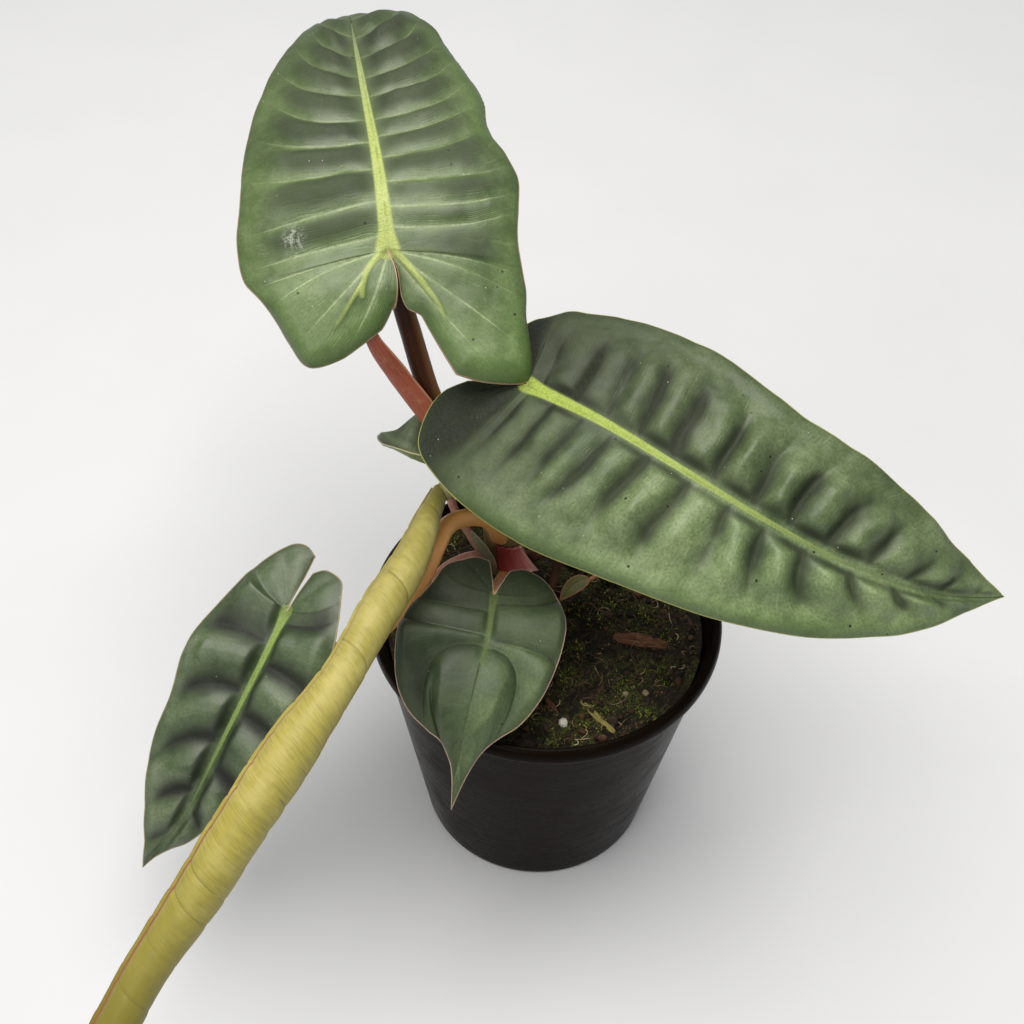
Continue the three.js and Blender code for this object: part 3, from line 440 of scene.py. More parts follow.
LEAVES = {
    "top": dict(
        midrib=[
            [-40.3, 33.5, 165], [-42, 43, 171.5], [-45, 58, 175.5], [-49, 77, 177], [-53, 97, 176.8],
            [-57, 118, 173.4], [-60, 134, 163], [-62, 143, 149], [-63, 149, 137]],
        up=[0, -0.25, 1], dip=[0.1, 0.14, 0.02, -0.08, -0.08],
        left=dict(
            veins=[
                -0.72, -0.44, -0.2, -0.06, 3.6, 12.1, 21.3, 30, 38.2, 48.1, 56.3, 66.1, 76, 87, 99, 112,
                125],
            reach=[
                [0, -4.6], [12, 6], [21, 25], [30, 42], [38, 56], [48, 67], [56, 79], [66, 92], [80, 108],
                [100, 122]],
            fold=[8, 10, 6], bend=[-0.9, -1.1, -2], lobe_bend=0.3, lobe_lift=3, notch_bow=0.3,
            curls=[(-30, -12, 2.2, 5)],
            basal=[
                ([[0.5, 0.8], [-4.4, 5], [-9.4, 6.8], [-11.4, 6.2]], 0.8, 0.5, 0.5),
                ([[-7.0, 6.3], [-12, 10], [-18.1, 14.8]], 0.42, 0.4, 0.9)],
            outline=[
                [-18, 2.8], [-21, 7.7], [-24.2, 14], [-25, 21.5], [-19, 25.7], [-10, 30], [-3.5, 34.5],
                [6, 35.6], [18, 34], [31, 32.4], [43, 29.8], [56, 25.4], [66, 21.8], [73, 18.7], [80, 15.4],
                [88, 12], [98, 9.6], [112, 7.4], [125, 4]]),
        right=dict(
            veins=[
                -0.76, -0.5, -0.22, -0.08, 5.6, 10.5, 17.2, 24.6, 31.7, 38, 47.2, 55.2, 65, 75, 86, 98, 111,
                124],
            reach=[
                [0, -4.6], [5.6, 8], [10.5, 13], [17.2, 21], [24.6, 35], [32, 47], [38, 55], [47.2, 64],
                [55.2, 74], [65, 86], [80, 108], [100, 122]],
            fold=[10, 12, 14], bend=[-1, -1.1, -1.2], lobe_angle=2, lobe_lift=-0.5, notch_bow=0.04, ear=2.2,
            curls=[(-36, -14, 2.4, 5.5), (28, 75, 1.6, 5)],
            basal=[
                ([[0.5, -0.8], [-5.2, -5.1], [-10.7, -8.6], [-14.5, -10.6], [-19.7, -11.9]],
                 0.9, 0.42, 0.75)],
            outline=[
                [-29.6, -12.9], [-32, -20], [-32.5, -30], [-28, -32.6], [-15, -32.2], [0, -31], [9, -32.2],
                [17, -33.2], [26, -31], [36, -29.2], [47, -30], [60, -26.4], [74, -23], [86, -18.2],
                [96, -15.4], [106, -13], [116, -9.6], [126, -6]])),
    "right": dict(
        midrib=[
            [-7.4, 15.3, 142], [9.5, 5.3, 141], [27.6, -5, 137], [45.8, -13.5, 131], [64.6, -18.4, 123],
            [85, -17.9, 113], [98, -14.5, 107], [109.1, -9.7, 102]],
        up=[-0.1, -0.45, 1], roll=[0, 6, 22], dip=[0.08, 0.1, 0.04, -0.02, -0.05],
        left=dict(
            veins=[-0.6, -0.25, 3.9, 12.7, 21, 29.3, 38.4, 49, 59.3, 68.3, 78, 89.4, 100, 110, 121],
            reach=[
                [0, -6], [12.7, 12.5], [29.3, 27], [38.4, 38], [49, 48], [59.3, 63], [68.3, 77], [78, 93],
                [89.4, 105], [100, 115], [115, 125]],
            fold=[2, 8, 8], bend=[-1, -1, -1], lobe_bend=0.3, lobe_lift=-3, notch_bow=0.08,
            outline=[
                [-11, 7.6], [-13, 13], [-11, 19], [-6, 22.8], [2, 25.6], [13, 29], [25, 30.8], [36, 31],
                [46, 29], [58, 27], [70, 26], [84, 24.6], [98, 20.2], [110, 15], [122, 8]]),
        right=dict(
            veins=[-0.75, -0.51, -0.22, 2, 8.6, 16.5, 24.2, 34, 44.8, 55, 64, 74, 86, 97, 108, 120],
            reach=[
                [0, -9], [8.6, 1.5], [24.2, 14], [34, 28], [44.8, 43], [55, 57], [64, 75], [74, 88],
                [86, 100], [97, 109], [110, 119]],
            fold=[4, 3, 3], bend=[-0.6, -0.7, -0.9], lobe_bend=0.3, curls=[(0, 100, 1.2, 4)],
            outline=[
                [-14.4, -4.6], [-18.9, -10], [-19.4, -18], [-16.4, -24.9], [-7.5, -29.6], [2, -32.4],
                [12, -33.8], [24, -33.6], [38, -31], [52, -28.2], [66, -24.8], [80, -20.4], [92, -16],
                [104, -11.2], [116, -5.4], [126, -1.8]])),
    "left": dict(
        midrib=[
            [-64.4, -9.4, 86], [-69.1, -19, 80], [-74.7, -28.5, 72], [-80.7, -36.8, 62], [-87.2, -43.9, 50],
            [-94, -48.8, 40], [-100.4, -51.9, 32]],
        up=[-0.3, -0.6, 1], roll=[0, -10, -20], dip=[0.05, 0.05, 0, -0.05],
        left=dict(
            veins=[-0.5, 3.6, 14.7, 28, 43.4, 56, 67],
            reach=[[0, -7], [3.6, -3], [14.7, 17.5], [28, 31], [43.4, 48], [56, 61], [67, 71]],
            fold=[10, 10, 10], bend=[-0.9, -0.9, -0.9], lobe_angle=6, lobe_lift=0.6,
            outline=[
                [-11, 1.4], [-13, 4.5], [-12, 9.5], [-8, 11.8], [-2, 14.2], [5, 16.2], [16, 17], [28, 16],
                [40, 13.2], [50, 10], [58, 7], [64, 5], [69, 2.4], [74, 0.7]]),
        right=dict(
            veins=[-0.55, -0.15, 9.2, 23, 37, 51, 64],
            reach=[[0, -4], [9.2, 12], [23, 34], [37, 52], [51, 64], [64, 73]],
            fold=[10, 10, 10], bend=[-0.9, -0.9, -0.9], lobe_angle=6, lobe_lift=-0.6,
            outline=[
                [-15.5, -0.6], [-17, -4], [-15.5, -8], [-9, -12.4], [-2, -14.6], [5, -17.2], [13, -19.4],
                [21, -19.2], [31, -17.4], [42, -16.2], [52, -14.4], [61, -11], [69, -6.4], [74.5, -3]])),
    "heart": dict(
        midrib=[
            [-13.2, -13.2, 100], [-14.4, -25.6, 98], [-16.7, -35.7, 92], [-19.1, -44.3, 84],
            [-20.4, -50.2, 76], [-21.4, -54.3, 69]],
        up=[0, -0.8, 1], dip=[0, 0, 0], sweep=0.88,
        left=dict(
            veins=[-0.5, 3, 12.8, 14.4, 43],
            reach=[[0, -3], [3, -1.5], [12.8, 15.5], [14.4, 36], [43, 50]],
            fold=[6, 6], bend=[-0.7, -0.7], lobe_bend=0.6, lobe_lift=0.4,
            outline=[
                [-7.4, 2.8], [-8.6, 6.3], [-7.2, 10], [-3, 14.1], [2, 16.6], [7, 17.9], [13, 17.7],
                [18, 16.8], [24, 15.2], [30, 12.2], [34.5, 8.2], [39, 5], [46, 2.2]]),
        right=dict(
            veins=[-0.5, 5.2, 11.5, 14.2, 43],
            reach=[[0, -4], [5.2, 3], [11.5, 10], [14.2, 36], [30, 41.5], [43, 50]],
            fold=[6, 6], bend=[-0.7, -0.7], lobe_bend=0.6, lobe_lift=-0.4,
            outline=[
                [-10.8, -2.2], [-11.3, -6], [-9, -10], [-6, -13], [-1, -15], [4, -18.2], [9, -20.4],
                [15, -21], [22, -20], [28.5, -17.6], [33, -14], [36, -9.2], [38, -5.2], [42, -2.4],
                [47, -1]])),
    "back": dict(
        midrib=[
            [-27.6, 23.4, 107.3], [-32, 22.9, 109], [-37, 23.5, 111], [-41.6, 26.4, 111],
            [-43.7, 30.2, 110]],
        up=[0, -0.3, 1], dip=[0.05, 0],
        left=dict(
            veins=[-0.4, 2, 8, 14], reach=[[0, -0.5], [8, 9]], fold=[50, 50, 30], bend=[4, 4, 3],
            lobe_angle=10,
            outline=[[-0.6, 0.8], [-0.4, 3], [0.8, 6], [3.5, 8], [7.1, 7.6], [13.1, 5]]),
        right=dict(
            veins=[-0.4, 2, 8, 14], reach=[[0, -2], [8, 10]], fold=[14, 12, 8], bend=[-0.8, -0.8, -0.8],
            lobe_angle=10,
            outline=[[-1.9, -1.8], [-3, -4.5], [-2.6, -9], [1.1, -14], [7.1, -14], [13.1, -10]])),
    "tiny": dict(
        midrib=[[10.6, 9.4, 80.4], [8, 7, 81.2], [5.4, 4.4, 81], [3.4, 2.2, 79.6]],
        up=[0, -0.3, 1], dip=[0, 0],
        left=dict(
            veins=[3.2, 6.5], reach=[[0, 0]], fold=[20, 20], bend=[0, 0], lobe_angle=0,
            outline=[[-0.3, 0.5], [2, 1.9], [5, 2.4], [8, 1.7]]),
        right=dict(
            veins=[3.2, 6.5], reach=[[0, 0]], fold=[20, 20], bend=[0, 0], lobe_angle=0,
            outline=[[-0.3, -0.5], [2, -1.7], [5, -2.1], [8, -1.4]])),
}


class Leaf:
    """A blade, laid out flat: x along the midrib and y to the side, both in millimetres."""

    def __init__(self, facts):
        self.__dict__.update(facts)
        self.curve = Path(self.midrib)
        self.length = self.curve.length
        self.left, self.right = self.prepare(self.left), self.prepare(self.right)

    def prepare(self, facts):
        half = SimpleNamespace(**{**PLAIN_HALF, **facts})
        outline = np.array([*half.outline, [self.length, 0]], float)
        outline[:, 0] = np.minimum(outline[:, 0], self.length)
        half.margin = catmull(outline, MARGIN_SAMPLES + 1, mirrored=False)
        starts, ends = np.array([*half.reach, [self.length, self.length]], float).T
        half.fan_end = int(np.nonzero(half.margin[:, 0] < ends[0])[0].max()) + 1
        half.fan = travelled(half.margin[:half.fan_end + 1])
        rising = np.maximum.accumulate(half.margin[half.fan_end:, 0])
        spread = np.arange(len(rising)) * 1e-7
        half.starts = np.interp(rising, ends, starts) + spread
        half.rising = rising + spread
        half.lines = [v if v < 0 else v / self.length for v in half.veins]
        half.sign = np.sign(half.margin[half.fan_end, 1])
        return half

    def margin_point(self, half, station):
        """Where the line of side veins from a station meets the margin."""
        if station < 0:
            place = np.interp((station + 1) * half.fan[-1], half.fan, np.arange(half.fan_end + 1))
        else:
            place = half.fan_end + np.interp(station * self.length, half.starts, np.arange(len(half.starts)))
        index = np.arange(len(half.margin))
        return np.array([np.interp(place, index, column) for column in half.margin.T])

    def side_lines(self, half, station, t):
        """Flat points along the line of side veins that leaves the midrib at each station."""
        margin = np.array([self.margin_point(half, value) for value in station])
        start = np.maximum(0, station) * self.length
        middle = start + SWEEP_PLACE * (margin[:, 0] - start)
        wide = np.interp(middle, half.rising, np.abs(half.margin[half.fan_end:, 1]))
        dip = profile(self.dip, np.maximum(0, station))
        curved = np.stack([start - dip * wide, self.sweep * wide * half.sign], -1)
        straight = np.stack([(start + margin[:, 0]) / 2, margin[:, 1] / 2], -1)
        weight = smoothstep(FAN_STRAIGHT, 0, station) * (1 - smoothstep(TIP_SWEEP, TIP_STRAIGHT, station))
        control = straight + (curved - straight) * weight[:, None]
        square = np.stack([margin[:, 1], start - margin[:, 0]], -1)
        bow = -half.notch_bow * np.sign(margin[:, 1]) * (1 - smoothstep(-1, FAN_STRAIGHT, station))
        control = control + square * bow[:, None]
        foot = np.stack([start, np.zeros_like(start)], -1)
        t = t[None, :, None]
        line = (1 - t) ** 2 * foot[:, None] + 2 * t * (1 - t) * control[:, None] + t ** 2 * margin[:, None]
        swell = half.ear * smoothstep(*EAR_RISE, t) * smoothstep(*EAR_FALL, t)
        toward = -np.sign(margin[:, 1:]) * unit(square)
        line = line + swell * (toward * smoothstep(EAR_ROWS, -1, station)[:, None])[:, None]
        return line[..., 0], line[..., 1], margin

    def on_blade(self, half, x, y, lift):
        """The place of a flat leaf point, raised by lift, and the blade's normal there."""
        u = np.clip(x / self.length, 0, 1)
        origin, along = self.curve.at(u), self.curve.tangent(u)
        side = unit(np.cross(np.array(self.up, float), along))
        normal = np.cross(along, side)
        roll = np.radians(profile(self.roll, u))[..., None]
        side = side * np.cos(roll) + normal * np.sin(roll)
        normal = np.cross(along, side)
        behind = np.maximum(-x, 0)
        within = smoothstep(0, LOBE_REACH, behind)
        slope, bend = math.radians(half.lobe_angle) * within, math.radians(half.lobe_bend)
        lobe, under = bent(origin, -along, -normal, slope, bend, behind)
        in_lobe = (behind > 0)[..., None]
        normal = np.where(in_lobe, -under, normal)
        origin = np.where(in_lobe, lobe, origin) + normal * (half.lobe_lift * within)[..., None]
        outward = side * np.where(y < 0, -1.0, 1.0)[..., None]
        slope, bend = np.radians(profile(half.fold, u)), np.radians(profile(half.bend, u))
        place, facing = bent(origin, outward, normal, slope, bend, np.abs(y))
        return place + facing * lift[..., None], facing

    def stations(self):
        """Stations down the leaf, close enough for the veins of both halves."""
        marks = sorted({-1.0, 0.0, 1.0, *self.left.lines, *self.right.lines})
        stations = []
        for low, high in zip(marks, marks[1:]):
            spans = [abs(high - max(low, 0)) * self.length if high > 0 else 0]
            for half in (self.left, self.right):
                first, last = self.margin_point(half, low), self.margin_point(half, high)
                spans.append(MARGIN_ROWS * float(np.hypot(*(last - first))))
            count = max(3, int(math.ceil(max(spans) / self.pitch)))
            stations += [low + (high - low) * k / count for k in range(count)]
        return np.array([*stations, 1.0])


def bent(origin, outward, normal, slope, bend, distance):
    """Where a sheet gets to that leaves a place at a slope and bends evenly, and its normal there."""
    bend = np.where(np.abs(bend) < 1e-6, 1e-6, bend)
    turned = slope + bend * distance
    out = (np.sin(turned) - np.sin(slope)) / bend
    rise = (np.cos(slope) - np.cos(turned)) / bend
    place = origin + outward * out[..., None] + normal * rise[..., None]
    return place, normal * np.cos(turned)[..., None] - outward * np.sin(turned)[..., None]


def bay_measures(x, y, station, lines):
    """Each point's distance from the nearest side vein, and the width of its bay, both across the veins."""
    flat = np.stack([x, y], -1)
    down, out = np.gradient(flat, axis=0), np.gradient(flat, axis=1)
    area = np.abs(down[..., 0] * out[..., 1] - down[..., 1] * out[..., 0])
    lean = area / np.maximum(np.linalg.norm(down, axis=-1) * np.linalg.norm(out, axis=-1), 1e-9)
    lean[:, 0] = lean[:, 1]
    travel = np.zeros_like(x)
    travel[1:] = np.cumsum(np.hypot(np.diff(x, axis=0), np.diff(y, axis=0)), axis=0)
    marks = np.array([[np.interp(v, station, column) for column in travel.T] for v in lines])
    nearest = np.abs(travel[None] - marks[1:-1, None]).min(axis=0)
    bay = np.clip(np.searchsorted(lines, station, side="right") - 1, 0, len(lines) - 2)
    return nearest * lean, (marks[bay + 1] - marks[bay]) * lean


def margin_distance(half, x, y):
    """How far each flat point lies from the leaf's margin and its notch."""
    edge = np.concatenate([half.margin[::2], np.stack([x[0], y[0]], -1)])
    rows = [np.hypot(a[:, None] - edge[:, 0], b[:, None] - edge[:, 1]).min(axis=1) for a, b in zip(x, y)]
    return np.array(rows)


def basal_distance(x, y, ribs):
    """How far each flat point lies from the ribs that run into a lobe, in half widths, and their fading."""
    out, fade = np.full_like(x, 9.0), np.zeros_like(x)
    for line, thick, thin, thin_out in ribs:
        dense = catmull(line, 80)
        gap = np.linalg.norm(np.stack([x, y], -1)[..., None, :] - dense, axis=-1)
        part = gap.argmin(-1) / (len(dense) - 1)
        near = gap.min(-1) / (thick + (thin - thick) * part) + 1.5 * smoothstep(0.8, 1, part)
        fade = np.where(near < out, 1 - thin_out * part, fade)
        out = np.minimum(out, near)
    return out, fade


def leaf_half(leaf, half, station, t, rng, seed):
    """The top of one half of a blade: its places, its normals and the attributes of its points."""
    x, y, margin = leaf.side_lines(half, station, t)
    row = station[:, None]
    ahead = np.maximum(0, row)
    lines = [-1, *half.lines, 1]
    wide = np.hypot(x - ahead * leaf.length, y)
    vein, room = bay_measures(x, y, station, lines)
    edge = np.minimum(margin_distance(half, x, y), np.hypot(x - margin[:, :1], y - margin[:, 1:]))
    flat = np.stack([x, y, np.full_like(x, 7.0 * seed)], -1)

    # The lanes between side veins are counted down the leaf, and each one swells into a pillow
    lane = np.interp(row, lines, np.arange(len(lines)))
    lane = lane + leaf.warp * rough(flat, WARP_SIZE, 2) * smoothstep(1, 8, wide)
    bay = np.clip(lane.astype(int), 0, len(lines) - 2)
    across_bay = np.clip(lane - bay, 0, 1)
    arch = np.clip(np.sin(math.pi * across_bay ** leaf.lean), 0, 1) ** leaf.crisp
    calm_start, calm_end, calm_share = leaf.calm
    calm = 1 - calm_share * smoothstep(calm_start, calm_end, t)
    calm = calm * (1 - leaf.tip_calm * smoothstep(*TIP_CALM, row))
    lobe_calm = 1 - leaf.lobe_calm * smoothstep(*LOBE_CALM, row)
    beside = np.maximum(smoothstep(0.5, leaf.inner, wide), leaf.dome * smoothstep(0.2, 0.35, row))
    share = rng.uniform(*SHARES, len(lines))[bay] * np.clip(room / leaf.bay, 0, 1.3)
    share = share * (1 + leaf.patchy * rough(flat, SHARE_SIZE, 2))
    bulge = leaf.bulge * share * (arch * beside * calm) * profile(leaf.swell, ahead) * lobe_calm

    # Painted shade in the hollows between pillows and beside the midrib; a banded leaf instead gets bands
    # across each bay, partly its own pattern and partly painted shade
    painted_shade = np.maximum(1 - arch ** 0.7, 0.7 * (1 - leaf.dome) * bell(wide - 2.2, 1.8))
    if leaf.banded:
        painted_shade = np.clip(np.sin(math.pi * across_bay ** 1.3), 0, 1) ** 0.8
    painted_shade = painted_shade * calm * smoothstep(0.3, 2.5, wide) * np.clip(room / leaf.bay, 0, 1)
    painted_shade = painted_shade * lobe_calm * (1 + leaf.patchy * rough(flat, DIM_SIZE, 2))

    # Grooves along the side veins, ripples, a waved margin, and the channel and crown of the midrib
    groove = leaf.groove * bell(vein, 0.7) * smoothstep(0.02, 0.12, t) * (1 - 0.8 * t)
    groove = groove * smoothstep(0, 6, wide)
    ripple = rough(flat, RIPPLE_SIZE, 3) * leaf.ripple * smoothstep(0, 8, wide)
    ripple = ripple * (0.25 + 0.75 * smoothstep(0, 6, edge))
    fine = rough(flat, FINE_SIZE, 2) * leaf.fine * smoothstep(1, 4, wide)
    wave = rough(flat, WAVE_SIZE, 1) * leaf.wave * bell(edge, 3.5) * smoothstep(0, 12, wide)
    rib_width = profile(leaf.rib, row) + leaf.flare * bell(x, 3)
    channel = 0.4 * bell(wide, 0.55 * rib_width) - 0.35 * bell(wide, 1.2 * rib_width)
    channel = channel * leaf.channel * smoothstep(-0.02, 0.05, row)
    channel = channel + leaf.crown * bell(wide, 8) * smoothstep(0.48, 0.62, row)

    # The margin turns down, and more so over some lengths
    curl = leaf.curl * np.clip(1 - edge / CURL_REACH, 0, 1) ** 2
    # Painted light: where a curl turns the margin down, the blade is painted light green as if lit through
    painted_backlight = np.zeros_like(x)
    for low, high, amount, reach in half.curls:
        window = smoothstep(low - CURL_FADE, low + CURL_FADE, x)
        window = window * smoothstep(high + CURL_FADE, high - CURL_FADE, x)
        curl = curl + amount * window * np.clip(1 - edge / reach, 0, 1) ** 2
        painted_backlight = np.maximum(painted_backlight, window * np.clip(1 - edge / (1.5 * reach), 0, 1))
    basal, fade = basal_distance(x, y, half.basal)
    raised = BASAL_RISE * np.clip(BASAL_REACH - basal, 0, 1)
    lift = bulge - groove + ripple + fine + wave + channel - curl * smoothstep(0, 12, wide) + raised
    place, facing = leaf.on_blade(half, x, y, lift)
    lane = lane + (LANE_SHIFT if half.sign < 0 else 0)
    return place, facing, dict(
        basal=basal, fade=fade, wide=wide, rib=wide / rib_width, vein=vein, edge=edge, painted_backlight=painted_backlight, painted_shade=painted_shade,
        lane=lane, across=t + 0 * x, station=row + 0 * x, flat_x=x, flat_y=y)


def build_leaf(name, facts, seed):
    leaf = Leaf(facts)
    station = leaf.stations()
    s = np.linspace(0, 1, leaf.columns)
    t = 0.7 * s + 0.3 * (1 - np.cos(math.pi * s)) / 2
    rng = np.random.default_rng(seed)
    left, right = (leaf_half(leaf, half, station, t, rng, seed) for half in (leaf.left, leaf.right))

    # The right half comes first, turned round, so that the columns run across the whole leaf
    def whole(left, right):
        return np.concatenate([right[:, :0:-1], left], axis=1)

    top, facing = whole(left[0], right[0]), unit(whole(left[1], right[1]))
    at = {key: whole(left[2][key], right[2][key]) for key in left[2]}
    rim = smoothstep(0, RIM_WIDTH, at["edge"])
    rib_depth = leaf.rib_depth * (1 - 0.8 * np.clip(station, 0, 1))[:, None]
    near_vein = bell(at["vein"], 0.55) * smoothstep(0.02, 0.1, at["across"]) * (1 - at["across"])
    near_rib = rib_depth * bell(at["wide"], 1.4) * smoothstep(-0.3, 0.02, at["station"])
    depth = leaf.sheet * (0.45 + 0.55 * rim) + near_rib + VEIN_DEPTH * near_vein
    rounded = top - facing * (RIM_ROUND * leaf.sheet * (1 - rim))[..., None]
    return shell(name, rounded, top - facing * depth[..., None], **at)


# How each leaf is drawn, in millimetres and shares: the pitch of its rows, the columns of a half, and the
# size of its pillows, grooves, ripples, curls and rib. PLAIN_LOOK holds what most leaves share.

PLAIN_LOOK = dict(
    pitch=0.6, columns=34, bulge=1.8, bay=9, lean=1.2, crisp=1.6, warp=0, patchy=0.15, inner=4,
    calm=(0.6, 1, 0.75), tip_calm=0, lobe_calm=0.3, banded=False, groove=0.06, ripple=0.3, fine=0.05,
    wave=0.4, curl=0.3, flare=0.5, rib_depth=1.3, sheet=0.7, swell=[1, 1, 1, 1, 0.7], channel=1, crown=0,
    dome=0)
LOOKS = {
    "top": dict(
        pitch=0.55, columns=54, bulge=2.1, lean=1.35, crisp=1, banded=True, tip_calm=0.8, lobe_calm=0.75,
        inner=8, groove=0.12, patchy=0.3, warp=0.1, wave=0.25, curl=0.6, calm=(0.5, 0.95, 0.9), flare=1.0,
        swell=[0.35, 0.6, 0.85, 1.05, 1.15, 1.1, 1.1, 1], crown=1.3, rib_depth=1.6, sheet=0.75,
        rib=[1.9, 1.5, 1.2, 0.95, 0.75, 0.5, 0.3, 0.18, 0.12, 0.1, 0.1]),
    "right": dict(
        pitch=0.55, columns=54, bulge=2.5, lean=0.9, crisp=1.5, warp=0.14, patchy=0.6,
        swell=[0.5, 0.6, 0.85, 1.15, 1.25, 1.25, 1.2, 0.9, 0.5],
        lobe_calm=0.4, inner=5.5, calm=(0.35, 0.8, 0.93), groove=0, ripple=0.6, wave=0.2, curl=0.5,
        rib_depth=1.6, sheet=0.75,
        rib=[1.7, 1.25, 1.0, 0.82, 0.7, 0.56, 0.4, 0.2, 0.12, 0.1, 0.1]),
    "left": dict(
        bulge=2.8, bay=13, lean=0.85, lobe_calm=0.75, crisp=1.5, groove=0, calm=(0.65, 1, 0.7), patchy=0.2,
        inner=3.5,
        rib=[1.1, 0.85, 0.72, 0.6, 0.52, 0.42, 0.3, 0.2, 0.12, 0.1, 0.1]),
    "heart": dict(
        pitch=0.5, columns=38, bulge=3.4, bay=17, lean=0.7, crisp=0.95, dome=1,
        swell=[1, 1, 1, 1.15, 0.7, 0.1], patchy=0.1, inner=2, groove=0.05, channel=0.15, lobe_calm=0.7,
        flare=0.2, calm=(0.75, 1, 0.6),
        rib=[0.9, 0.75, 0.65, 0.55, 0.45, 0.35, 0.25, 0.18, 0.12, 0.1, 0.1]),
    "back": dict(
        columns=24, bulge=0.4, bay=6, ripple=0.2, curl=0, flare=0, rib_depth=1, rib=[0.8, 0.5, 0.3, 0.2]),
    "tiny": dict(
        pitch=0.4, columns=14, bulge=0.1, bay=3, groove=0.02, ripple=0.03, fine=0.02, wave=0.1, curl=0,
        flare=0, rib=[0.3, 0.2, 0.1], rib_depth=0.3, sheet=0.5),
}


def leaf_material(name, dark, mid, pale, vein, rib, rib_far, margin, under, gloss=0.45, vein_width=0.5,
                  vein_share=0.5, shades=(1, 1), rib_end=0.72, scuffs=(), painted_shade=(1.12, 0.6), streaks=0.5,
                  haze=0.0, sides=(1, 1), matt=0.0, shine=0.6):
    s = Shader(name)
    across, station, edge, near_vein, hollow = map(s.attribute, ("across", "station", "edge", "vein", "painted_shade"))
    cloud = s.noise(5, 5, 0.6)
    grain = s.noise(0.7, 4, 0.65)
    tone = s.noise(22, 3, 0.5) * 0.6 + cloud * 0.4
    body = s.ramp(tone, (0.36, dark), (0.52, mid), (0.68, pale))
    # Fine side veins run beside the main ones
    lane = s.attribute("lane") * 4.0 + s.noise(7, 2, 0.5) * 1.1
    thin = s.step(s.math("PINGPONG", lane, 0.5), 0.12, 0.0) * s.clouds(5, 3, 0.6, 0.42, 0.65)
    finer = s.step(s.math("PINGPONG", lane * 3.0, 0.5), 0.3, 0.0) * s.clouds(3, 2, 0.5, 0.4, 0.7)
    body = s.mix(thin * 0.7 * streaks, body, pale)
    body = s.mix(finer * 0.4 * streaks, body, pale)
    # Main side veins, thinner outwards
    width = s.step(across, 0.0, 1.0, vein_width, 0.35 * vein_width)
    line = s.step(s.math("SUBTRACT", 1.0, near_vein / width, clamp=True), 0.0, 0.8)
    line = line * s.clouds(6, 3, 0.6, 0.35, 0.6, 0.25, 1.0) * s.step(across, 0.95, 0.6)
    body = s.mix(line * vein_share, body, vein)
    # Painted shade in the hollows and across the bays (on banded leaves partly the leaf's own darker bands),
    # a pale haze by the veins, and painted light and shade that change along the leaf and from one half to
    # the other
    body = s.shade(body, s.step(hollow, 0.0, 0.9, *painted_shade))
    hazy = s.step(near_vein, 1.8, 0.0) * s.step(across, 0.8, 0.2)
    hazy = s.math("MAXIMUM", hazy, s.step(s.attribute("wide"), 4.5, 1.0))
    body = s.mix(hazy * haze, body, vein)
    # Painted light and shade along the leaf, for how its base, lobes and tip turn to or from the light
    body = s.shade(body, s.step(station, -0.25, 0.6, *shades))
    # Painted shade on the half that turns away from the light
    body = s.shade(body, s.step(s.attribute("flat_y"), -8, 8, *sides))
    # Fine mottling
    body = s.mix(s.step(grain, 0.35, 0.7, 0.0, 0.4), body, dark)
    fleck = s.step(s.cells(0.8), 0.2, 0.05) * s.clouds(8, 2, 0.5, 0.45, 0.6)
    body = s.mix(fleck * 0.3, body, pale)
    # Painted light: light green where the margin turns down, as if lit through it
    body = s.mix(s.attribute("painted_backlight") * 0.55, body, (0.07, 0.14, 0.02))
    # The midrib, speckled and fading towards the tip, and the basal ribs
    ribbed = s.step(s.attribute("rib"), 1.2, 0.75) * s.step(station, rib_end, rib_end - 0.35)
    ribbed = s.math("MAXIMUM", ribbed, s.step(s.attribute("basal"), 1.4, 0.5) * s.attribute("fade"))
    rib_color = s.mix(s.step(station, 0.15, 0.6), rib, rib_far)
    rib_color = s.mix(s.clouds(0.45, 2, 0.6, 0.44, 0.6, 0.0, 0.6), rib_color, tinted(rib, 0.6))
    body = s.mix(ribbed, body, rib_color)
    # Whitish scuffs at places of the flat leaf
    for x, y, wide, high, share in scuffs:
        dx = (s.attribute("flat_x") - x) / wide
        dy = (s.attribute("flat_y") - y) / high
        scuff = s.step(s.math("SQRT", dx * dx + dy * dy), 1.1, 0.2) * s.clouds(0.8, 5, 0.85, 0.46, 0.62)
        body = s.mix(scuff * share, body, (0.42, 0.46, 0.4))
    # The thin margin line, a painted shade over the last 3 mm to the margin where it turns down, dark dots
    # and pale dust
    rim = s.step(edge, 0.36, 0.16)
    body = s.mix(s.step(edge, 3.0, 0.3, 0.0, 0.3), body, dark)
    body = s.mix(rim, body, margin)
    dot = s.step(s.cells(5.5), 0.075, 0.055) * s.clouds(11, 1, 0.5, 0.52, 0.56)
    body = s.mix(dot, body, (0.008, 0.01, 0.006))
    dust = s.step(s.cells(3.1), 0.055, 0.03) * s.step(s.noise(9, 1, 0.5, distortion=1.0), 0.5, 0.6)
    body = s.mix(dust, body, (0.42, 0.45, 0.38))
    # The underside
    back = s.mix(s.step(tone, 0.35, 0.65), under, tinted(under, 0.72))
    back = s.mix(line * 0.6, back, vein)
    back = s.mix(ribbed, back, rib)
    back = s.mix(rim, back, margin)
    color = s.mix(s.step(s.attribute("upper"), 0.4, 0.6), back, body)
    roughness = s.step(cloud, 0.3, 0.7, gloss - 0.06, gloss + 0.08) + ribbed * 0.1
    roughness = roughness + s.step(station, -0.25, 0.35, matt, 0.0)
    roughness = roughness + s.step(hollow, 0.3, 0.9, 0.0, 0.3)
    height = grain * 0.5 + s.noise(0.4, 3, 0.6) * 0.3
    height = height - thin * 1.4 * streaks - finer * 0.7 * streaks
    return s.finish(color, roughness, s.bump(height, 0.1, 0.7), shine)


def tinted(color, share):
    return tuple(share * c for c in color)
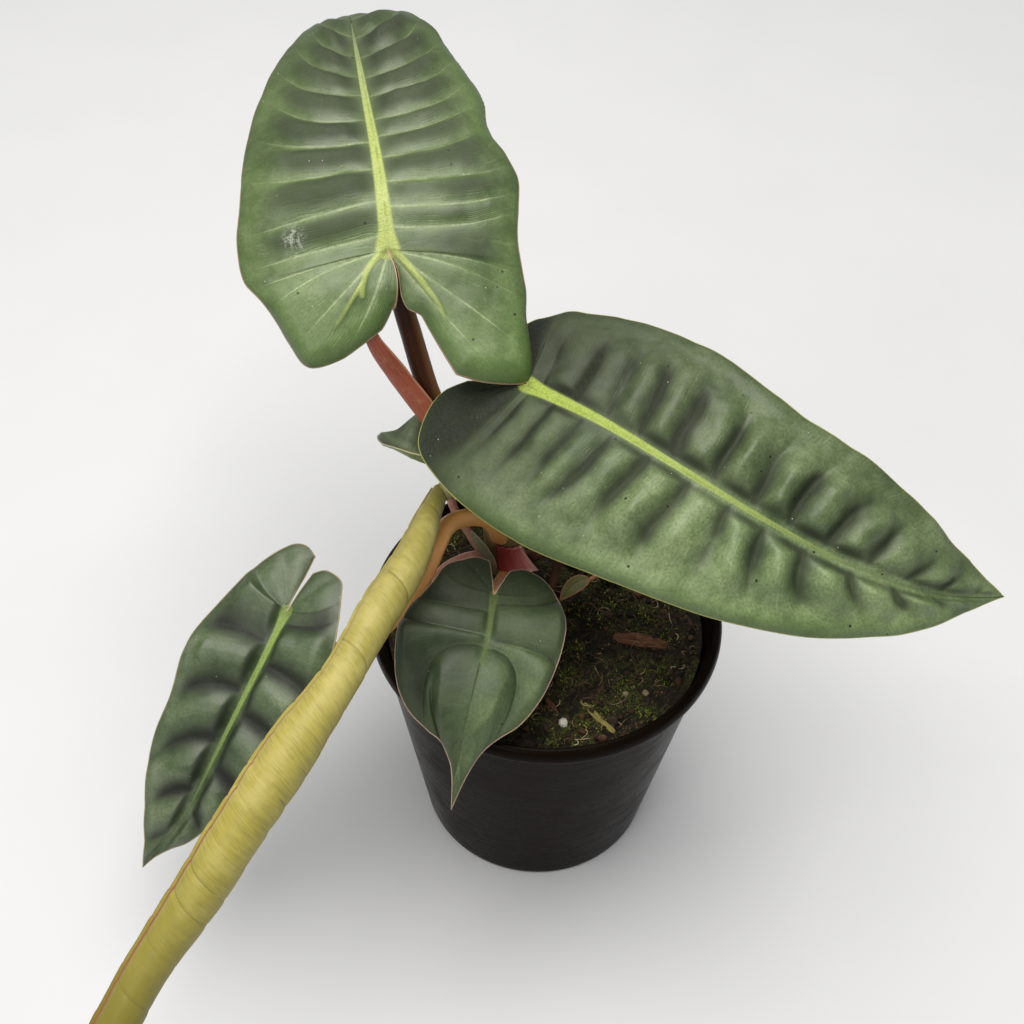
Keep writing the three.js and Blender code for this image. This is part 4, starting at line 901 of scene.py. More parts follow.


# shades, sides and painted_shade set painted light and shade: along the leaf, from one half to the other, and
# in the hollows
LEAF_COLORS = {
    "top": dict(
        dark=(0.038, 0.064, 0.018), mid=(0.068, 0.105, 0.032), pale=(0.11, 0.155, 0.06),
        vein=(0.24, 0.29, 0.15), rib=(0.36, 0.43, 0.1), rib_far=(0.26, 0.31, 0.16),
        margin=(0.42, 0.27, 0.17), under=(0.13, 0.2, 0.06), gloss=0.43, vein_share=0.6, shades=(1.4, 0.62),
        scuffs=((4, 21, 5, 3.4, 0.75),), painted_shade=(1.25, 0.42), haze=0.22, sides=(0.95, 1)),
    "right": dict(
        dark=(0.026, 0.041, 0.016), mid=(0.054, 0.076, 0.031), pale=(0.092, 0.118, 0.058),
        vein=(0.1, 0.14, 0.06), rib=(0.3, 0.39, 0.06), rib_far=(0.22, 0.29, 0.09), margin=(0.36, 0.36, 0.1),
        under=(0.13, 0.2, 0.06), vein_share=0.05, shades=(0.1, 2.15), rib_end=0.8, painted_shade=(1.6, 0.3),
        streaks=0.4, sides=(1.05, 0.6), matt=0.35, shine=0.45),
    "left": dict(
        dark=(0.017, 0.029, 0.011), mid=(0.038, 0.055, 0.024), pale=(0.074, 0.093, 0.05),
        vein=(0.06, 0.1, 0.04), rib=(0.19, 0.28, 0.045), rib_far=(0.13, 0.2, 0.05),
        margin=(0.3, 0.24, 0.12), under=(0.11, 0.17, 0.05), gloss=0.42, vein_width=0.45, vein_share=0.1,
        rib_end=0.85, painted_shade=(2.2, 0.12), streaks=0.2, shine=0.55),
    "heart": dict(
        dark=(0.018, 0.032, 0.011), mid=(0.034, 0.051, 0.018), pale=(0.058, 0.078, 0.033),
        vein=(0.1, 0.135, 0.07), rib=(0.085, 0.12, 0.035), rib_far=(0.05, 0.075, 0.026),
        margin=(0.4, 0.27, 0.18), under=(0.13, 0.19, 0.06), gloss=0.52, vein_width=0.45, rib_end=0.7,
        shades=(0.55, 1.7), painted_shade=(1.35, 0.45), streaks=0.3, haze=0.1, sides=(0.5, 1.2), matt=0.3,
        shine=0.45),
    "back": dict(
        dark=(0.11, 0.15, 0.08), mid=(0.19, 0.24, 0.14), pale=(0.3, 0.33, 0.22), vein=(0.3, 0.33, 0.22),
        rib=(0.3, 0.33, 0.15), rib_far=(0.3, 0.33, 0.15), margin=(0.55, 0.5, 0.33),
        under=(0.14, 0.21, 0.02), vein_width=0.4),
    "tiny": dict(
        dark=(0.13, 0.13, 0.03), mid=(0.2, 0.2, 0.05), pale=(0.3, 0.27, 0.1), vein=(0.3, 0.28, 0.13),
        rib=(0.3, 0.22, 0.1), rib_far=(0.3, 0.22, 0.1), margin=(0.5, 0.18, 0.1), under=(0.25, 0.22, 0.07),
        vein_width=0.25),
}


def build_leaves():
    for seed, (name, facts) in enumerate(LEAVES.items(), 1):
        look = {**PLAIN_LEAF, **facts, **PLAIN_LOOK, **LOOKS[name]}
        item = build_leaf("leaf_" + name, look, seed)
        slot = "leaf_dark" if name == "left" else "leaf"
        dress(item, leaf_material("leaf_" + name, **LEAF_COLORS[name]), slot, "blade_" + name)


# Bars: stalks, stem and root

# The square of the share of its radius to which an end narrows
SMALLEST_END = 0.0004
STEM_PATH = [[-8.5, 22, 38], [-9.5, 21, 60], [-11, 19.5, 78], [-12.4, 18.5, 90], [-13, 18, 98]]
STEM_FOOT, STEM_HEAD = 6.2, 4.6


def build_bar(name, path, radii, sides=36, step=0.6, uneven=0.03, seed=0, section=None, up=None, closed=0.6):
    """A closed bar along a path. closed is how far, in radii, each end is rounded."""
    curve = Path(path)
    count = max(12, int(curve.length / step))
    u, angle = np.linspace(0, 1, count)[:, None], circle(sides)[None, :]
    centres, normals, others = curve.frames(count, up)
    radius = eased(radii, u)
    distance = u * curve.length
    from_end = np.minimum(distance, curve.length - distance) / np.maximum(closed * radius, 0.01)
    capped = np.sqrt(np.clip(1 - (1 - np.clip(from_end, 0, 1)) ** 2, SMALLEST_END, 1))
    a, b = section(u, angle) if section else (radius * np.cos(angle), radius * np.sin(angle))
    a, b = a * capped, b * capped
    factor = 1 + uneven * rough(np.stack([distance * 0.35 + 0 * a, a, b], -1) + 31.7 * seed, 1.6, 3)
    points = tube_points(centres, normals, others, a * factor, b * factor)
    # How far each point faces +x, for a painted highlight on that side
    east = unit(points - centres[:, None])[..., 0]
    return make_object(
        name, points.reshape(-1, 3), tube_faces(count, sides), along=u + 0 * a, length=distance + 0 * a,
        around=np.cos(angle) + 0 * a, around2=np.sin(angle) + 0 * a, east=east)


def stalk_material(name, low, high, flush, gloss=0.42, dots=0.4, east=None, shine=0.5):
    """A stalk whose colour runs from low at its foot to high at its head, with fine lengthwise fibres."""
    s = Shader(name)
    body = s.mix(s.step(s.attribute("along"), 0.05, 0.95), low, high)
    streak = s.noise(1.0, 4, 0.65, where=s.fibres(9.0, 9.0, 0.16))
    body = s.mix(s.step(streak, 0.42, 0.66) * 0.35, body, flush)
    body = s.mix(s.clouds(5, 3, 0.6, 0.45, 0.75, 0.0, 0.4), body, flush)
    speck = s.step(s.cells(0.9), 0.12, 0.02)
    body = s.mix(speck * dots, body, tuple(min(1, 1.6 * c + 0.02) for c in high))
    # A painted highlight along the side that faces +x
    if east:
        body = s.mix(s.step(s.attribute("east"), 0.35, 0.9), body, east)
    roughness = s.step(streak, 0.3, 0.7, gloss - 0.06, gloss + 0.12)
    height = streak * 0.6 + s.noise(0.5, 3, 0.6) * 0.4
    return s.finish(body, roughness, s.bump(height, 0.12, 0.6), shine)


# Each bar's slot, its node, its shape and its look
STALKS = {
    # The top stalk is its own dark maroon, made darker towards its head as painted shade from the blade
    # above, with a painted highlight down its +x side
    "stalk_top": ("stalk_maroon", "petiole_top", dict(
        path=[[-12.5, 20, 86], [-17, 22.5, 96], [-22.5, 23, 109], [-30.2, 25.2, 127], [-35.4, 29.3, 145],
              [-38.7, 31.7, 158], [-40.2, 34, 163.6]],
        radii=[3.4, 3, 2.7, 2.6, 2.6, 2.5, 2.3], seed=0), dict(
        low=(0.1, 0.03, 0.01), high=(0.035, 0.01, 0.003), flush=(0.02, 0.006, 0.002), gloss=0.45,
        east=(0.2, 0.08, 0.02), shine=0.2, dots=0.25)),
    "stalk_right": ("stalk_pink", "petiole_right", dict(
        path=[[-10, 20, 90], [-9.5, 26, 102], [-14.4, 30, 120], [-16.5, 28.5, 133], [-13, 22.5, 138],
              [-7.8, 15.8, 140.6]],
        radii=[3, 2.6, 2.3, 2.2, 2, 1.8], seed=1), dict(
        low=(0.4, 0.15, 0.07), high=(0.45, 0.24, 0.16), flush=(0.3, 0.1, 0.06))),
    "stalk_left": ("stalk_orange", "petiole_left", dict(
        path=[[-12, 16.5, 87], [-15, 13, 97], [-20.2, 9, 102.5], [-25.2, 4.1, 104.5], [-27.7, -2.8, 104],
              [-30.1, -8.1, 100.5], [-34, -13.5, 95.5], [-40, -17.5, 90], [-46, -18.8, 85],
              [-52, -17.5, 81.6], [-58, -14, 80.6], [-62, -10.8, 82], [-64.2, -9.2, 85]],
        radii=[2.8, 2.5, 2.3, 2.3, 2.3, 2.3, 2.2, 2, 1.9, 1.8, 1.7, 1.6, 1.6], seed=2), dict(
        low=(0.75, 0.34, 0.1), high=(0.62, 0.29, 0.085), flush=(0.78, 0.46, 0.18))),
    "stalk_heart": ("stalk_orange", "petiole_heart", dict(
        path=[[-10.5, 16, 73], [-11, 11.5, 77], [-12, 3, 85.5], [-12.8, -5, 93], [-13.1, -11, 97.6],
              [-13.2, -13.6, 99]],
        radii=[2.2, 1.9, 1.6, 1.5, 1.4, 1.4], seed=3), dict(
        low=(0.5, 0.23, 0.08), high=(0.3, 0.12, 0.05), flush=(0.55, 0.3, 0.12))),
    "stalk_back": ("stalk_pink", "petiole_back", dict(
        path=[[-12.5, 19, 76], [-17.3, 15.6, 83], [-21, 16.6, 89], [-24, 18.2, 94], [-26, 20, 99],
              [-27.3, 22.3, 103], [-27.6, 23.4, 106.5]],
        radii=[1.6, 1.3, 1.2, 1.1, 1.1, 1, 1], seed=4), dict(
        low=(0.42, 0.26, 0.17), high=(0.42, 0.2, 0.15), flush=(0.32, 0.15, 0.1))),
    "stalk_tiny": ("stalk_orange", "petiole_tiny", dict(
        path=[[17, 16.5, 66], [16.6, 15.8, 74], [15, 13.8, 77.8], [12.6, 11.4, 78.8], [10.5, 9.2, 79.3]],
        radii=[1, 1, 0.9, 0.7, 0.6], seed=5), dict(
        low=(0.4, 0.2, 0.07), high=(0.45, 0.19, 0.07), flush=(0.3, 0.14, 0.05))),
    "stalk_new": ("stalk_green", "petiole_new", dict(
        path=[[-13, 17.4, 94], [-14.4, 15.7, 102.9], [-17.6, 13.6, 108.6], [-22.3, 11.6, 111.7],
              [-27.6, 7.5, 112]],
        radii=[3.4, 3.2, 3, 2.8, 2.3], seed=9), dict(
        low=(0.3, 0.2, 0.1), high=(0.32, 0.29, 0.12), flush=(0.22, 0.17, 0.07))),
    "stem_main": ("stalk_green", "stem", dict(
        path=STEM_PATH, radii=[STEM_FOOT, 5.8, 5.4, 5.0, STEM_HEAD], sides=60, uneven=0.05, seed=12), dict(
        low=(0.16, 0.11, 0.05), high=(0.3, 0.22, 0.1), flush=(0.1, 0.08, 0.04))),
    "root_arched": ("stalk_maroon", "root_brown", dict(
        path=[[-9, 19, 74.5], [-4, 18, 78.5], [-0.8, 16, 82.6], [2, 15.6, 82], [2.6, 14.6, 78], [1.6, 12, 73],
              [0.6, 10, 66]],
        radii=[1.9, 1.8, 1.6, 1.4, 1.2, 1, 0.8], seed=14), dict(
        low=(0.12, 0.05, 0.03), high=(0.2, 0.1, 0.06), flush=(0.07, 0.03, 0.018), gloss=0.5)),
}


def build_stalks():
    for name, (slot, node, shape, look) in STALKS.items():
        dress(build_bar(name, **shape), stalk_material(name, **look), slot, node)


# The rolled new leaf

ROLL_PATH = [
    [-27.3, 8.9, 112], [-29.7, -0.8, 112.2], [-31.8, -10.6, 112.2], [-34.6, -19, 112],
    [-38.3, -27.6, 111.6], [-41.7, -36, 110.5], [-44.6, -43.1, 109.3], [-48.4, -50.2, 107.2],
    [-52.2, -56, 105], [-56.9, -63.3, 101.4], [-63, -71.7, 95.6], [-67.7, -77.7, 90.5], [-72, -83, 85],
    [-76.4, -87.8, 79.7], [-81.1, -92.9, 74.3], [-85.3, -97.7, 69.3], [-89.8, -104, 63],
    [-95, -111.5, 55.5], [-99.5, -118.5, 48],
]
ROLL_RADII = [2.3, 3.3, 4.1, 4.8, 5, 4.8, 4.7, 5.2, 6.1, 6.3, 6.1, 6.1, 6, 5.7, 5.3, 5.2, 5.2, 3.9, 0.5]
ROLL_ROWS, ROLL_SIDES = 540, 96
# The step at the roll's free edge, in millimetres and at most as a share of the radius
ROLL_STEP, ROLL_STEP_SHARE = 0.7, 0.23
# Where the free edge stands, in degrees, and how far it turns along the leaf
ROLL_EDGE, ROLL_TWIST = 264, -34
ROLL_SEED = 5
CREASES_START, CREASES_END = 10.0, 6
CREASE_SLANT = 9.0
CREASE_DEPTHS = (0.05, 0.16)
CREASE_GAPS = (6.0, 13.0)


def build_roll(name):
    curve = Path(ROLL_PATH)
    u, wound = np.linspace(0, 1, ROLL_ROWS)[:, None], np.linspace(0, 1, ROLL_SIDES)[None, :]
    outer = np.maximum(eased(ROLL_RADII, u), 0.3)
    distance = u * curve.length
    # Oblique creases cross the roll where side veins end
    slant = distance + CREASE_SLANT * (wound - 0.5)
    crease, fold = np.zeros_like(slant), np.zeros_like(slant)
    rng = np.random.default_rng(ROLL_SEED)
    place = CREASES_START
    while place < curve.length - CREASES_END:
        depth = rng.uniform(*CREASE_DEPTHS)
        d = slant - place
        partly = smoothstep(0.25, 0.6, np.sin(FULL_TURN * (wound + rng.uniform())) * 0.5 + 0.5)
        crease += depth * (bell(d, 0.35) - 0.9 * smoothstep(0.1, 1.6, d) * smoothstep(8, 1.6, d))
        # fold marks each crease over part of the way round, for painted shade
        fold = np.maximum(fold, partly * 6 * depth * bell(d, 0.3))
        place += rng.uniform(*CREASE_GAPS)
    step = np.minimum(ROLL_STEP, ROLL_STEP_SHARE * outer)
    radius = outer - step * wound - crease * smoothstep(0.5, 3, outer)
    angle = wound * FULL_TURN + np.radians(ROLL_EDGE + ROLL_TWIST * u)
    spots = np.stack([distance * 0.5 + 0 * angle, 4 * np.cos(angle), 4 * np.sin(angle)], -1)
    radius = np.maximum(radius * (1 + 0.012 * rough(spots, 2.2, 3)), 0.15)
    points = tube_points(*curve.frames(ROLL_ROWS), radius * np.cos(angle), radius * np.sin(angle))
    return make_object(
        name, points.reshape(-1, 3), tube_faces(ROLL_ROWS, ROLL_SIDES), along=u + 0 * angle,
        wound=wound + 0 * angle, slant=slant, fold=fold, around=np.cos(angle), around2=np.sin(angle))


def roll_material():
    s = Shader("rolled_leaf")
    along, wound = s.attribute("along"), s.attribute("wound")
    body = s.ramp(along, (0.0, (0.25, 0.22, 0.055)), (0.35, (0.38, 0.33, 0.08)), (0.6, (0.36, 0.31, 0.06)),
                  (1.0, (0.115, 0.098, 0.001)))
    lines = s.combine(s.attribute("slant"), s.attribute("around") * 0.3, s.attribute("around2") * 0.3)
    stria = s.noise(0.3, 3, 0.6, where=lines)
    body = s.mix(s.step(stria, 0.42, 0.66, 0.0, 0.5), body, (0.19, 0.165, 0.03))
    wide = s.noise(2.2, 3, 0.6, where=lines)
    body = s.mix(s.step(wide, 0.45, 0.7, 0.0, 0.25), body, (0.22, 0.2, 0.04))
    cloud = s.noise(9, 4, 0.6)
    sheen = s.step(cloud, 0.45, 0.7, 0.0, 0.45) * s.step(along, 0.9, 0.5)
    body = s.mix(sheen, body, (0.48, 0.42, 0.15))
    # Painted shade darkens the creases
    body = s.mix(s.step(s.attribute("fold"), 0.2, 0.9, 0.0, 0.6), body, (0.11, 0.09, 0.02))
    edges = s.math("MAXIMUM", s.step(wound, 0.945, 0.965), s.step(wound, 0.03, 0.012))
    body = s.mix(edges, body, (0.28, 0.1, 0.05))
    height = stria * 0.7 + s.noise(0.6, 3, 0.6) * 0.3
    return s.finish(body, s.step(cloud, 0.3, 0.7, 0.42, 0.55), s.bump(height, 0.1, 0.6), 0.35)


# The dry sheaths: each one's slot, its node, its shape and its colours

SHEATHS = {
    "bract_red": ("sheath_red", "cataphyll_red", dict(
        path=[[-12.6, 17.6, 92], [-16.6, 19, 100.6], [-22.4, 19.4, 109.5], [-30.2, 20.8, 123.7],
              [-37.8, 21.4, 136.7], [-43, 20.6, 148], [-44.6, 21.5, 155]],
        faces=[-0.35, -0.7, 0.45], widths=[2.4, 2.6, 2.9, 3.2, 3.1, 2.8, 1.2], thick=0.6, hollow=0.09), dict(
        low=(0.42, 0.125, 0.06), high=(0.32, 0.075, 0.035), edge=(0.46, 0.22, 0.12),
        streaks=(0.26, 0.055, 0.03))),
    "bract_green": ("sheath_green", "cataphyll_green", dict(
        path=[[-14.3, 12.9, 77.8], [-15.2, 12.5, 82.3], [-17.4, 12.9, 87.3], [-20.1, 14, 91.9]],
        faces=[-0.4, -0.8, 0.3], widths=[1.6, 1.7, 1.4, 0.4], thick=0.4, hollow=0.12), dict(
        low=(0.3, 0.22, 0.14), high=(0.24, 0.26, 0.16), edge=(0.5, 0.42, 0.32), streaks=(0.16, 0.17, 0.1))),
    "bract_fallen": ("stalk_pink", "sheath_fallen", dict(
        path=[[-15, 18.6, 76], [-18.5, 17.2, 77.2], [-22.4, 15.6, 76.6], [-26.5, 13, 75.6],
              [-29.5, 8.6, 74.9]],
        faces=[0.1, -0.3, 1], widths=[1.8, 2.4, 2.7, 2.4, 1], thick=0.4, hollow=-0.08), dict(
        low=(0.3, 0.13, 0.1), high=(0.36, 0.17, 0.13), edge=(0.48, 0.3, 0.25), streaks=(0.2, 0.07, 0.05))),
}
PINK_COLUMNS, PINK_ROWS = 60, 40
# Where the pink sheath starts round the stem and how far it goes, in degrees
PINK_START, PINK_SPAN = -104, 70
PINK_LOW, PINK_HIGH = 79.8, 88
PINK_GAP, PINK_FLARE, PINK_THICK = 1.3, 4.2, 0.55
PINK_RIDGE, PINK_RIDGES = 0.18, 22


def build_strap(name, path, faces, widths, thick, hollow):
    def section(u, angle):
        across = eased(widths, u) * np.cos(angle)
        ridge = 0.12 * np.cos(7 * across)
        return across, (thick + ridge * (np.sin(angle) > 0)) * np.sin(angle) - hollow * across ** 2
    return build_bar(name, path, widths, sides=56, step=0.5, uneven=0.02, section=section, up=faces,
                     closed=0.3)


def strap_material(name, low, high, edge, streaks):
    s = Shader(name)
    body = s.mix(s.step(s.attribute("along"), 0.1, 0.9), low, high)
    streak = s.noise(1.0, 5, 0.7, where=s.fibres(6.0, 1.0, 0.12))
    body = s.mix(s.step(streak, 0.42, 0.64, 0.0, 0.7), body, streaks)
    body = s.mix(s.step(s.math("ABSOLUTE", s.attribute("around")), 0.86, 0.98), body, edge)
    body = s.mix(s.clouds(3, 4, 0.6, 0.5, 0.75, 0.0, 0.4), body, edge)
    height = streak + s.noise(0.4, 2, 0.6) * 0.3
    return s.finish(body, s.step(streak, 0.3, 0.7, 0.4, 0.55), s.bump(height, 0.2, 0.7), 0.45)


def build_pink_sheath(name):
    """The pink sheath that stands round one side of the stem and flares out at its foot."""
    part = np.linspace(0, 1, PINK_COLUMNS + 1)[:, None]
    drop = 1 - np.linspace(0, 1, PINK_ROWS + 1)[None, :]
    angle = np.radians(PINK_START + PINK_SPAN * part)
    low, high = PINK_LOW - 1.8 * part ** 2, PINK_HIGH - 3 * part
    z = high + (low - high) * drop
    foot, head = STEM_PATH[0][2], STEM_PATH[-1][2]
    u = np.clip((z - foot) / (head - foot), 0, 1)
    middle = Path(STEM_PATH).at(u) * [1, 1, 0]
    flare = PINK_FLARE * (0.3 + 0.7 * part)
    radius = STEM_FOOT + (STEM_HEAD - STEM_FOOT) * u + PINK_GAP + flare * drop ** 2
    radius = radius + PINK_RIDGE * np.sin(PINK_RIDGES * angle + 2 * drop)
    outer, inner = (middle + upright(r, angle, z) for r in (radius, radius - PINK_THICK))
    return shell(name, outer, inner, part=part + 0 * z, drop=drop + 0 * z)


def pink_sheath_material():
    s = Shader("sheath_red")
    part, drop = s.attribute("part"), s.attribute("drop")
    body = s.ramp(part, (0.0, (0.16, 0.02, 0.015)), (0.35, (0.4, 0.05, 0.045)), (0.75, (0.65, 0.16, 0.15)),
                  (1.0, (0.8, 0.4, 0.36)))
    streak = s.noise(1.0, 4, 0.7, where=s.combine(part * 14.0, drop * 1.5))
    body = s.mix(s.step(streak, 0.45, 0.68, 0.0, 0.5), body, (0.3, 0.05, 0.05))
    body = s.mix(s.step(drop, 0.8, 1.0) * s.step(part, 0.2, 0.8), body, (0.8, 0.42, 0.38))
    return s.finish(body, s.step(streak, 0.3, 0.7, 0.32, 0.45), s.bump(streak, 0.15, 0.7))


def build_sheaths():
    for name, (slot, node, shape, colors) in SHEATHS.items():
        dress(build_strap(name, **shape), strap_material(name, **colors), slot, node)
    dress(build_pink_sheath("sheath_pink"), pink_sheath_material(), "sheath_red", "sheath_red")


# The soil

POT_BASE, POT_BODY_TOP, POT_WALL = 31.5, 42.8, 1.3
POT_HEIGHT, POT_BEAD, POT_RIM = 80, 4.7, 45
SOIL_TOP = 72.3
SOIL_ROUGHNESS = 1.3
SOIL_MOUND, SOIL_MOUND_REACH = 2.2, 0.7
SOIL_GAP = 0.3
SOIL_RINGS, SOIL_SECTORS = 150, 380
# The height, the two slopes and the phase of each wave
SOIL_WAVES = [[0.25, 0.42, 0.37, 0.9], [0.25, 0.42, -0.37, 1.7], [0.3, 0.83, -0.62, 2], [0.2, 0.51, 1.1, 0]]


def inner_radius(z):
    return POT_BASE + (POT_BODY_TOP - POT_BASE) * z / (POT_HEIGHT - POT_BEAD) - POT_WALL


def soil_height(x, y):
    """The height of the CAD soil's surface."""
    reach = np.hypot(x, y) / inner_radius(SOIL_TOP)
    fine = sum(h * np.sin(ax * x + ay * y + phase) for h, ax, ay, phase in SOIL_WAVES)
    mound = SOIL_MOUND * (1 - smoothstep(0, SOIL_MOUND_REACH, reach))
    return SOIL_TOP + mound + SOIL_ROUGHNESS * fine * (1 - 0.6 * smoothstep(0.75, 1, reach))


def soil_relief(x, y):
    """Crumbs and hollows on top of the soil's broad shape."""
    flat = np.stack(np.broadcast_arrays(x, y, 3.1), -1)
    crumbs = [noise.cell(Vector(p) / 2.3) for p in flat.reshape(-1, 3)]
    crumbs = np.reshape(crumbs, flat.shape[:-1])
    return rough(flat, 6.5, 3) + 0.25 * (crumbs - 0.5) + 0.5 * np.abs(rough(flat, 1.5, 3))


def ground(x, y):
    return float(soil_height(x, y) + soil_relief(x, y))


def build_soil(name):
    top_radius = inner_radius(SOIL_TOP - SOIL_ROUGHNESS) - SOIL_GAP
    reach = (np.arange(1, SOIL_RINGS + 1) / SOIL_RINGS)[:, None] ** 0.75 * top_radius
    angle = circle(SOIL_SECTORS)[None, :]
    x, y = reach * np.cos(angle), reach * np.sin(angle)
    relief = soil_relief(x, y) * smoothstep(top_radius, top_radius - 3, reach)
    top = np.stack([x, y, soil_height(x, y) + relief], -1)
    floor = POT_WALL + SOIL_GAP
    bottom = upright(inner_radius(floor) - SOIL_GAP, angle, floor)
    rings = np.concatenate([top, bottom]).reshape(-1, 3)
    points = np.concatenate([rings, [[0, 0, soil_height(0.0, 0.0)], [0, 0, floor]]])
    last = SOIL_RINGS * SOIL_SECTORS
    pairs = [(j, (j + 1) % SOIL_SECTORS) for j in range(SOIL_SECTORS)]
    faces = grid_faces(SOIL_RINGS + 1, SOIL_SECTORS, wrap=True).tolist()
    faces += [[len(rings), j, after] for j, after in pairs]
    faces += [[len(rings) + 1, last + after, last + j] for j, after in pairs]
    relief = np.concatenate([np.ravel(relief), np.zeros(SOIL_SECTORS + 2)])
    return make_object(name, points, faces, relief=relief)


def soil_material():
    s = Shader("peat")
    grain = s.noise(1.2, 5, 0.7)
    body = s.ramp(grain, (0.34, (0.003, 0.002, 0.001)), (0.52, (0.017, 0.011, 0.006)),
                  (0.7, (0.1, 0.062, 0.03)))
    mossy = s.clouds(9, 4, 0.6, 0.44, 0.58) * s.clouds(0.7, 4, 0.7, 0.44, 0.58)
    body = s.mix(mossy * 0.85, body, (0.075, 0.095, 0.01))
    fleck = s.step(s.cells(1.3), 0.2, 0.1) * s.clouds(3, 2, 0.5, 0.45, 0.56)
    body = s.mix(fleck, body, (0.28, 0.19, 0.085))
    # Painted shade, near black, in the hollows of the soil's relief
    body = s.mix(s.step(s.attribute("relief"), 0.1, -0.9, 0.0, 0.85), body, (0.003, 0.002, 0.001))
    height = grain + s.noise(0.5, 4, 0.7) * 0.5
    return s.finish(body, s.step(grain, 0.3, 0.7, 0.7, 0.95), s.bump(height, 0.9, 0.95), 0.35)


# Crumbs, fibres and moss on the soil

CRUMBS, CRUMB_SEED, CRUMB_EDGE, CRUMB_SIZES = 620, 11, 1.5, (0.35, 1.0)
FIBRES, FIBRE_SEED, FIBRE_EDGE = 360, 23, 2.5
FIBRE_LENGTHS, FIBRE_RADII = (1.6, 5.0), (0.06, 0.17)
MOSS_SEED, MOSS_DENSITY, MOSS_SIZES = 31, 22, (0.35, 0.95)
LITTER_EDGE = 1.2
# Tufts of moss: their place on the soil and how far they spread
MOSS_SPOTS = [
    (-26, 10, 5), (-20, 3, 4), (18, 8, 6), (12, 15, 5), (24, -2, 3.5), (5, 33, 7), (-5, -28, 5), (14, -27, 5),
    (30, -16, 4.5), (25, -27, 4), (33, 8, 5), (-30, -12, 5), (-14, -33, 4.5), (8, -9, 4), (22, 26, 6),
    (-26, 27, 6), (9, -35.5, 4), (-2, -8, 4), (14, 1, 4), (4, -17, 5), (20, -19, 5), (32, -3, 4),
    (11, -31, 5), (2, -37, 4), (19, -35, 4), (27, 4, 4), (-16, -24, 5), (9, 4, 4),
]
LITTER = {
    "crumbs": dict(
        grain=(0.7, 4, 0.7), dark=(0.006, 0.004, 0.003), share=0.5, roughness=(0.7, 0.92), bump=(0.4, 0.8),
        shades=[(0.0, (0.01, 0.006, 0.004)), (0.5, (0.03, 0.018, 0.011)), (0.85, (0.06, 0.03, 0.014)),
                (1.0, (0.12, 0.055, 0.025))]),
    "fibres": dict(
        grain=(0.8, 3, 0.6), dark=(0.08, 0.045, 0.02), share=0.5, roughness=(0.6, 0.85), bump=(0.1, 0.6),
        shades=[(0.0, (0.05, 0.025, 0.012)), (0.45, (0.14, 0.08, 0.04)), (0.75, (0.3, 0.21, 0.11)),
                (1.0, (0.5, 0.42, 0.26))]),
    "moss": dict(
        grain=(0.5, 3, 0.6), dark=(0.012, 0.02, 0.004), share=0.4, roughness=(0.65, 0.85), bump=(0.1, 0.5),
        shades=[(0.0, (0.02, 0.03, 0.004)), (0.6, (0.095, 0.125, 0.012)), (0.9, (0.25, 0.28, 0.035)),
                (1.0, (0.4, 0.4, 0.09))]),
}


def crumb_shape():
    work = bmesh.new()
    bmesh.ops.create_icosphere(work, subdivisions=2, radius=1)
    points = np.array([v.co for v in work.verts])
    faces = [[v.index for v in f.verts] for f in work.faces]
    work.free()
    return points, faces


def spot_in_pot(rng, edge):
    reach = (inner_radius(SOIL_TOP) - edge) * math.sqrt(rng.uniform(0, 1))
    angle = rng.uniform(0, FULL_TURN)
    return reach * math.cos(angle), reach * math.sin(angle)


def build_crumbs(name):
    rng = np.random.default_rng(CRUMB_SEED)
    shape, faces = crumb_shape()
    heap = Heap()
    for k in range(CRUMBS):
        x, y = spot_in_pot(rng, CRUMB_EDGE)
        size = rng.uniform(*CRUMB_SIZES) * (1.5 if rng.uniform() < 0.1 else 1)
        stretch = rng.uniform(0.55, 1.25, 3) * size
        bumps = 1 + 0.38 * rough(shape + 9.3 * k, 0.9, 2)
        turn = np.array(Matrix.Rotation(rng.uniform(0, 6.28), 3, Vector(unit(rng.normal(size=3)))))
        points = (shape * bumps[:, None] * stretch) @ turn.T
        heap.add(points + [x, y, ground(x, y) + 0.25 * size], faces, rng.uniform(0, 1))
    return heap.make(name)


def thread(points, radius, sides=5, rows=9):
    """A thin tapered tube through points."""
    angle = circle(sides)
    taper = radius * (1 - 0.7 * np.abs(np.linspace(-1, 1, rows)) ** 3)[:, None]
    ring = tube_points(*Path(points).frames(rows), taper * np.cos(angle), taper * np.sin(angle))
    return ring.reshape(-1, 3), tube_faces(rows, sides)


def build_fibres(name):
    rng = np.random.default_rng(FIBRE_SEED)
    heap = Heap()
    limit = inner_radius(SOIL_TOP) - LITTER_EDGE
    for _ in range(FIBRES):
        x, y = spot_in_pot(rng, FIBRE_EDGE)
        length = rng.uniform(*FIBRE_LENGTHS) * (1.8 if rng.uniform() < 0.06 else 1)
        heading = rng.uniform(0, FULL_TURN)
        bend = rng.uniform(-2.2, 2.2)
        lift = rng.uniform(-0.2, 0.9)
        places = []
        for step in np.linspace(-0.5, 0.5, 5):
            px = x + length * step * math.cos(heading + bend * step)
            py = y + length * step * math.sin(heading + bend * step)
            reach = math.hypot(px, py)
            if reach > limit:
                px, py = px * limit / reach, py * limit / reach
            arch = lift * (1 - 4 * step * step) + 0.25
            places.append([px, py, ground(px, py) + arch + rng.uniform(-0.1, 0.15)])
        heap.add(*thread(places, rng.uniform(*FIBRE_RADII)), rng.uniform(0, 1) ** 1.6)
    return heap.make(name)


def triangle(x, y, z, reach, turn):
    return [[x + reach * math.cos(turn + a), y + reach * math.sin(turn + a), z] for a in (0, 2.1, 4.2)]


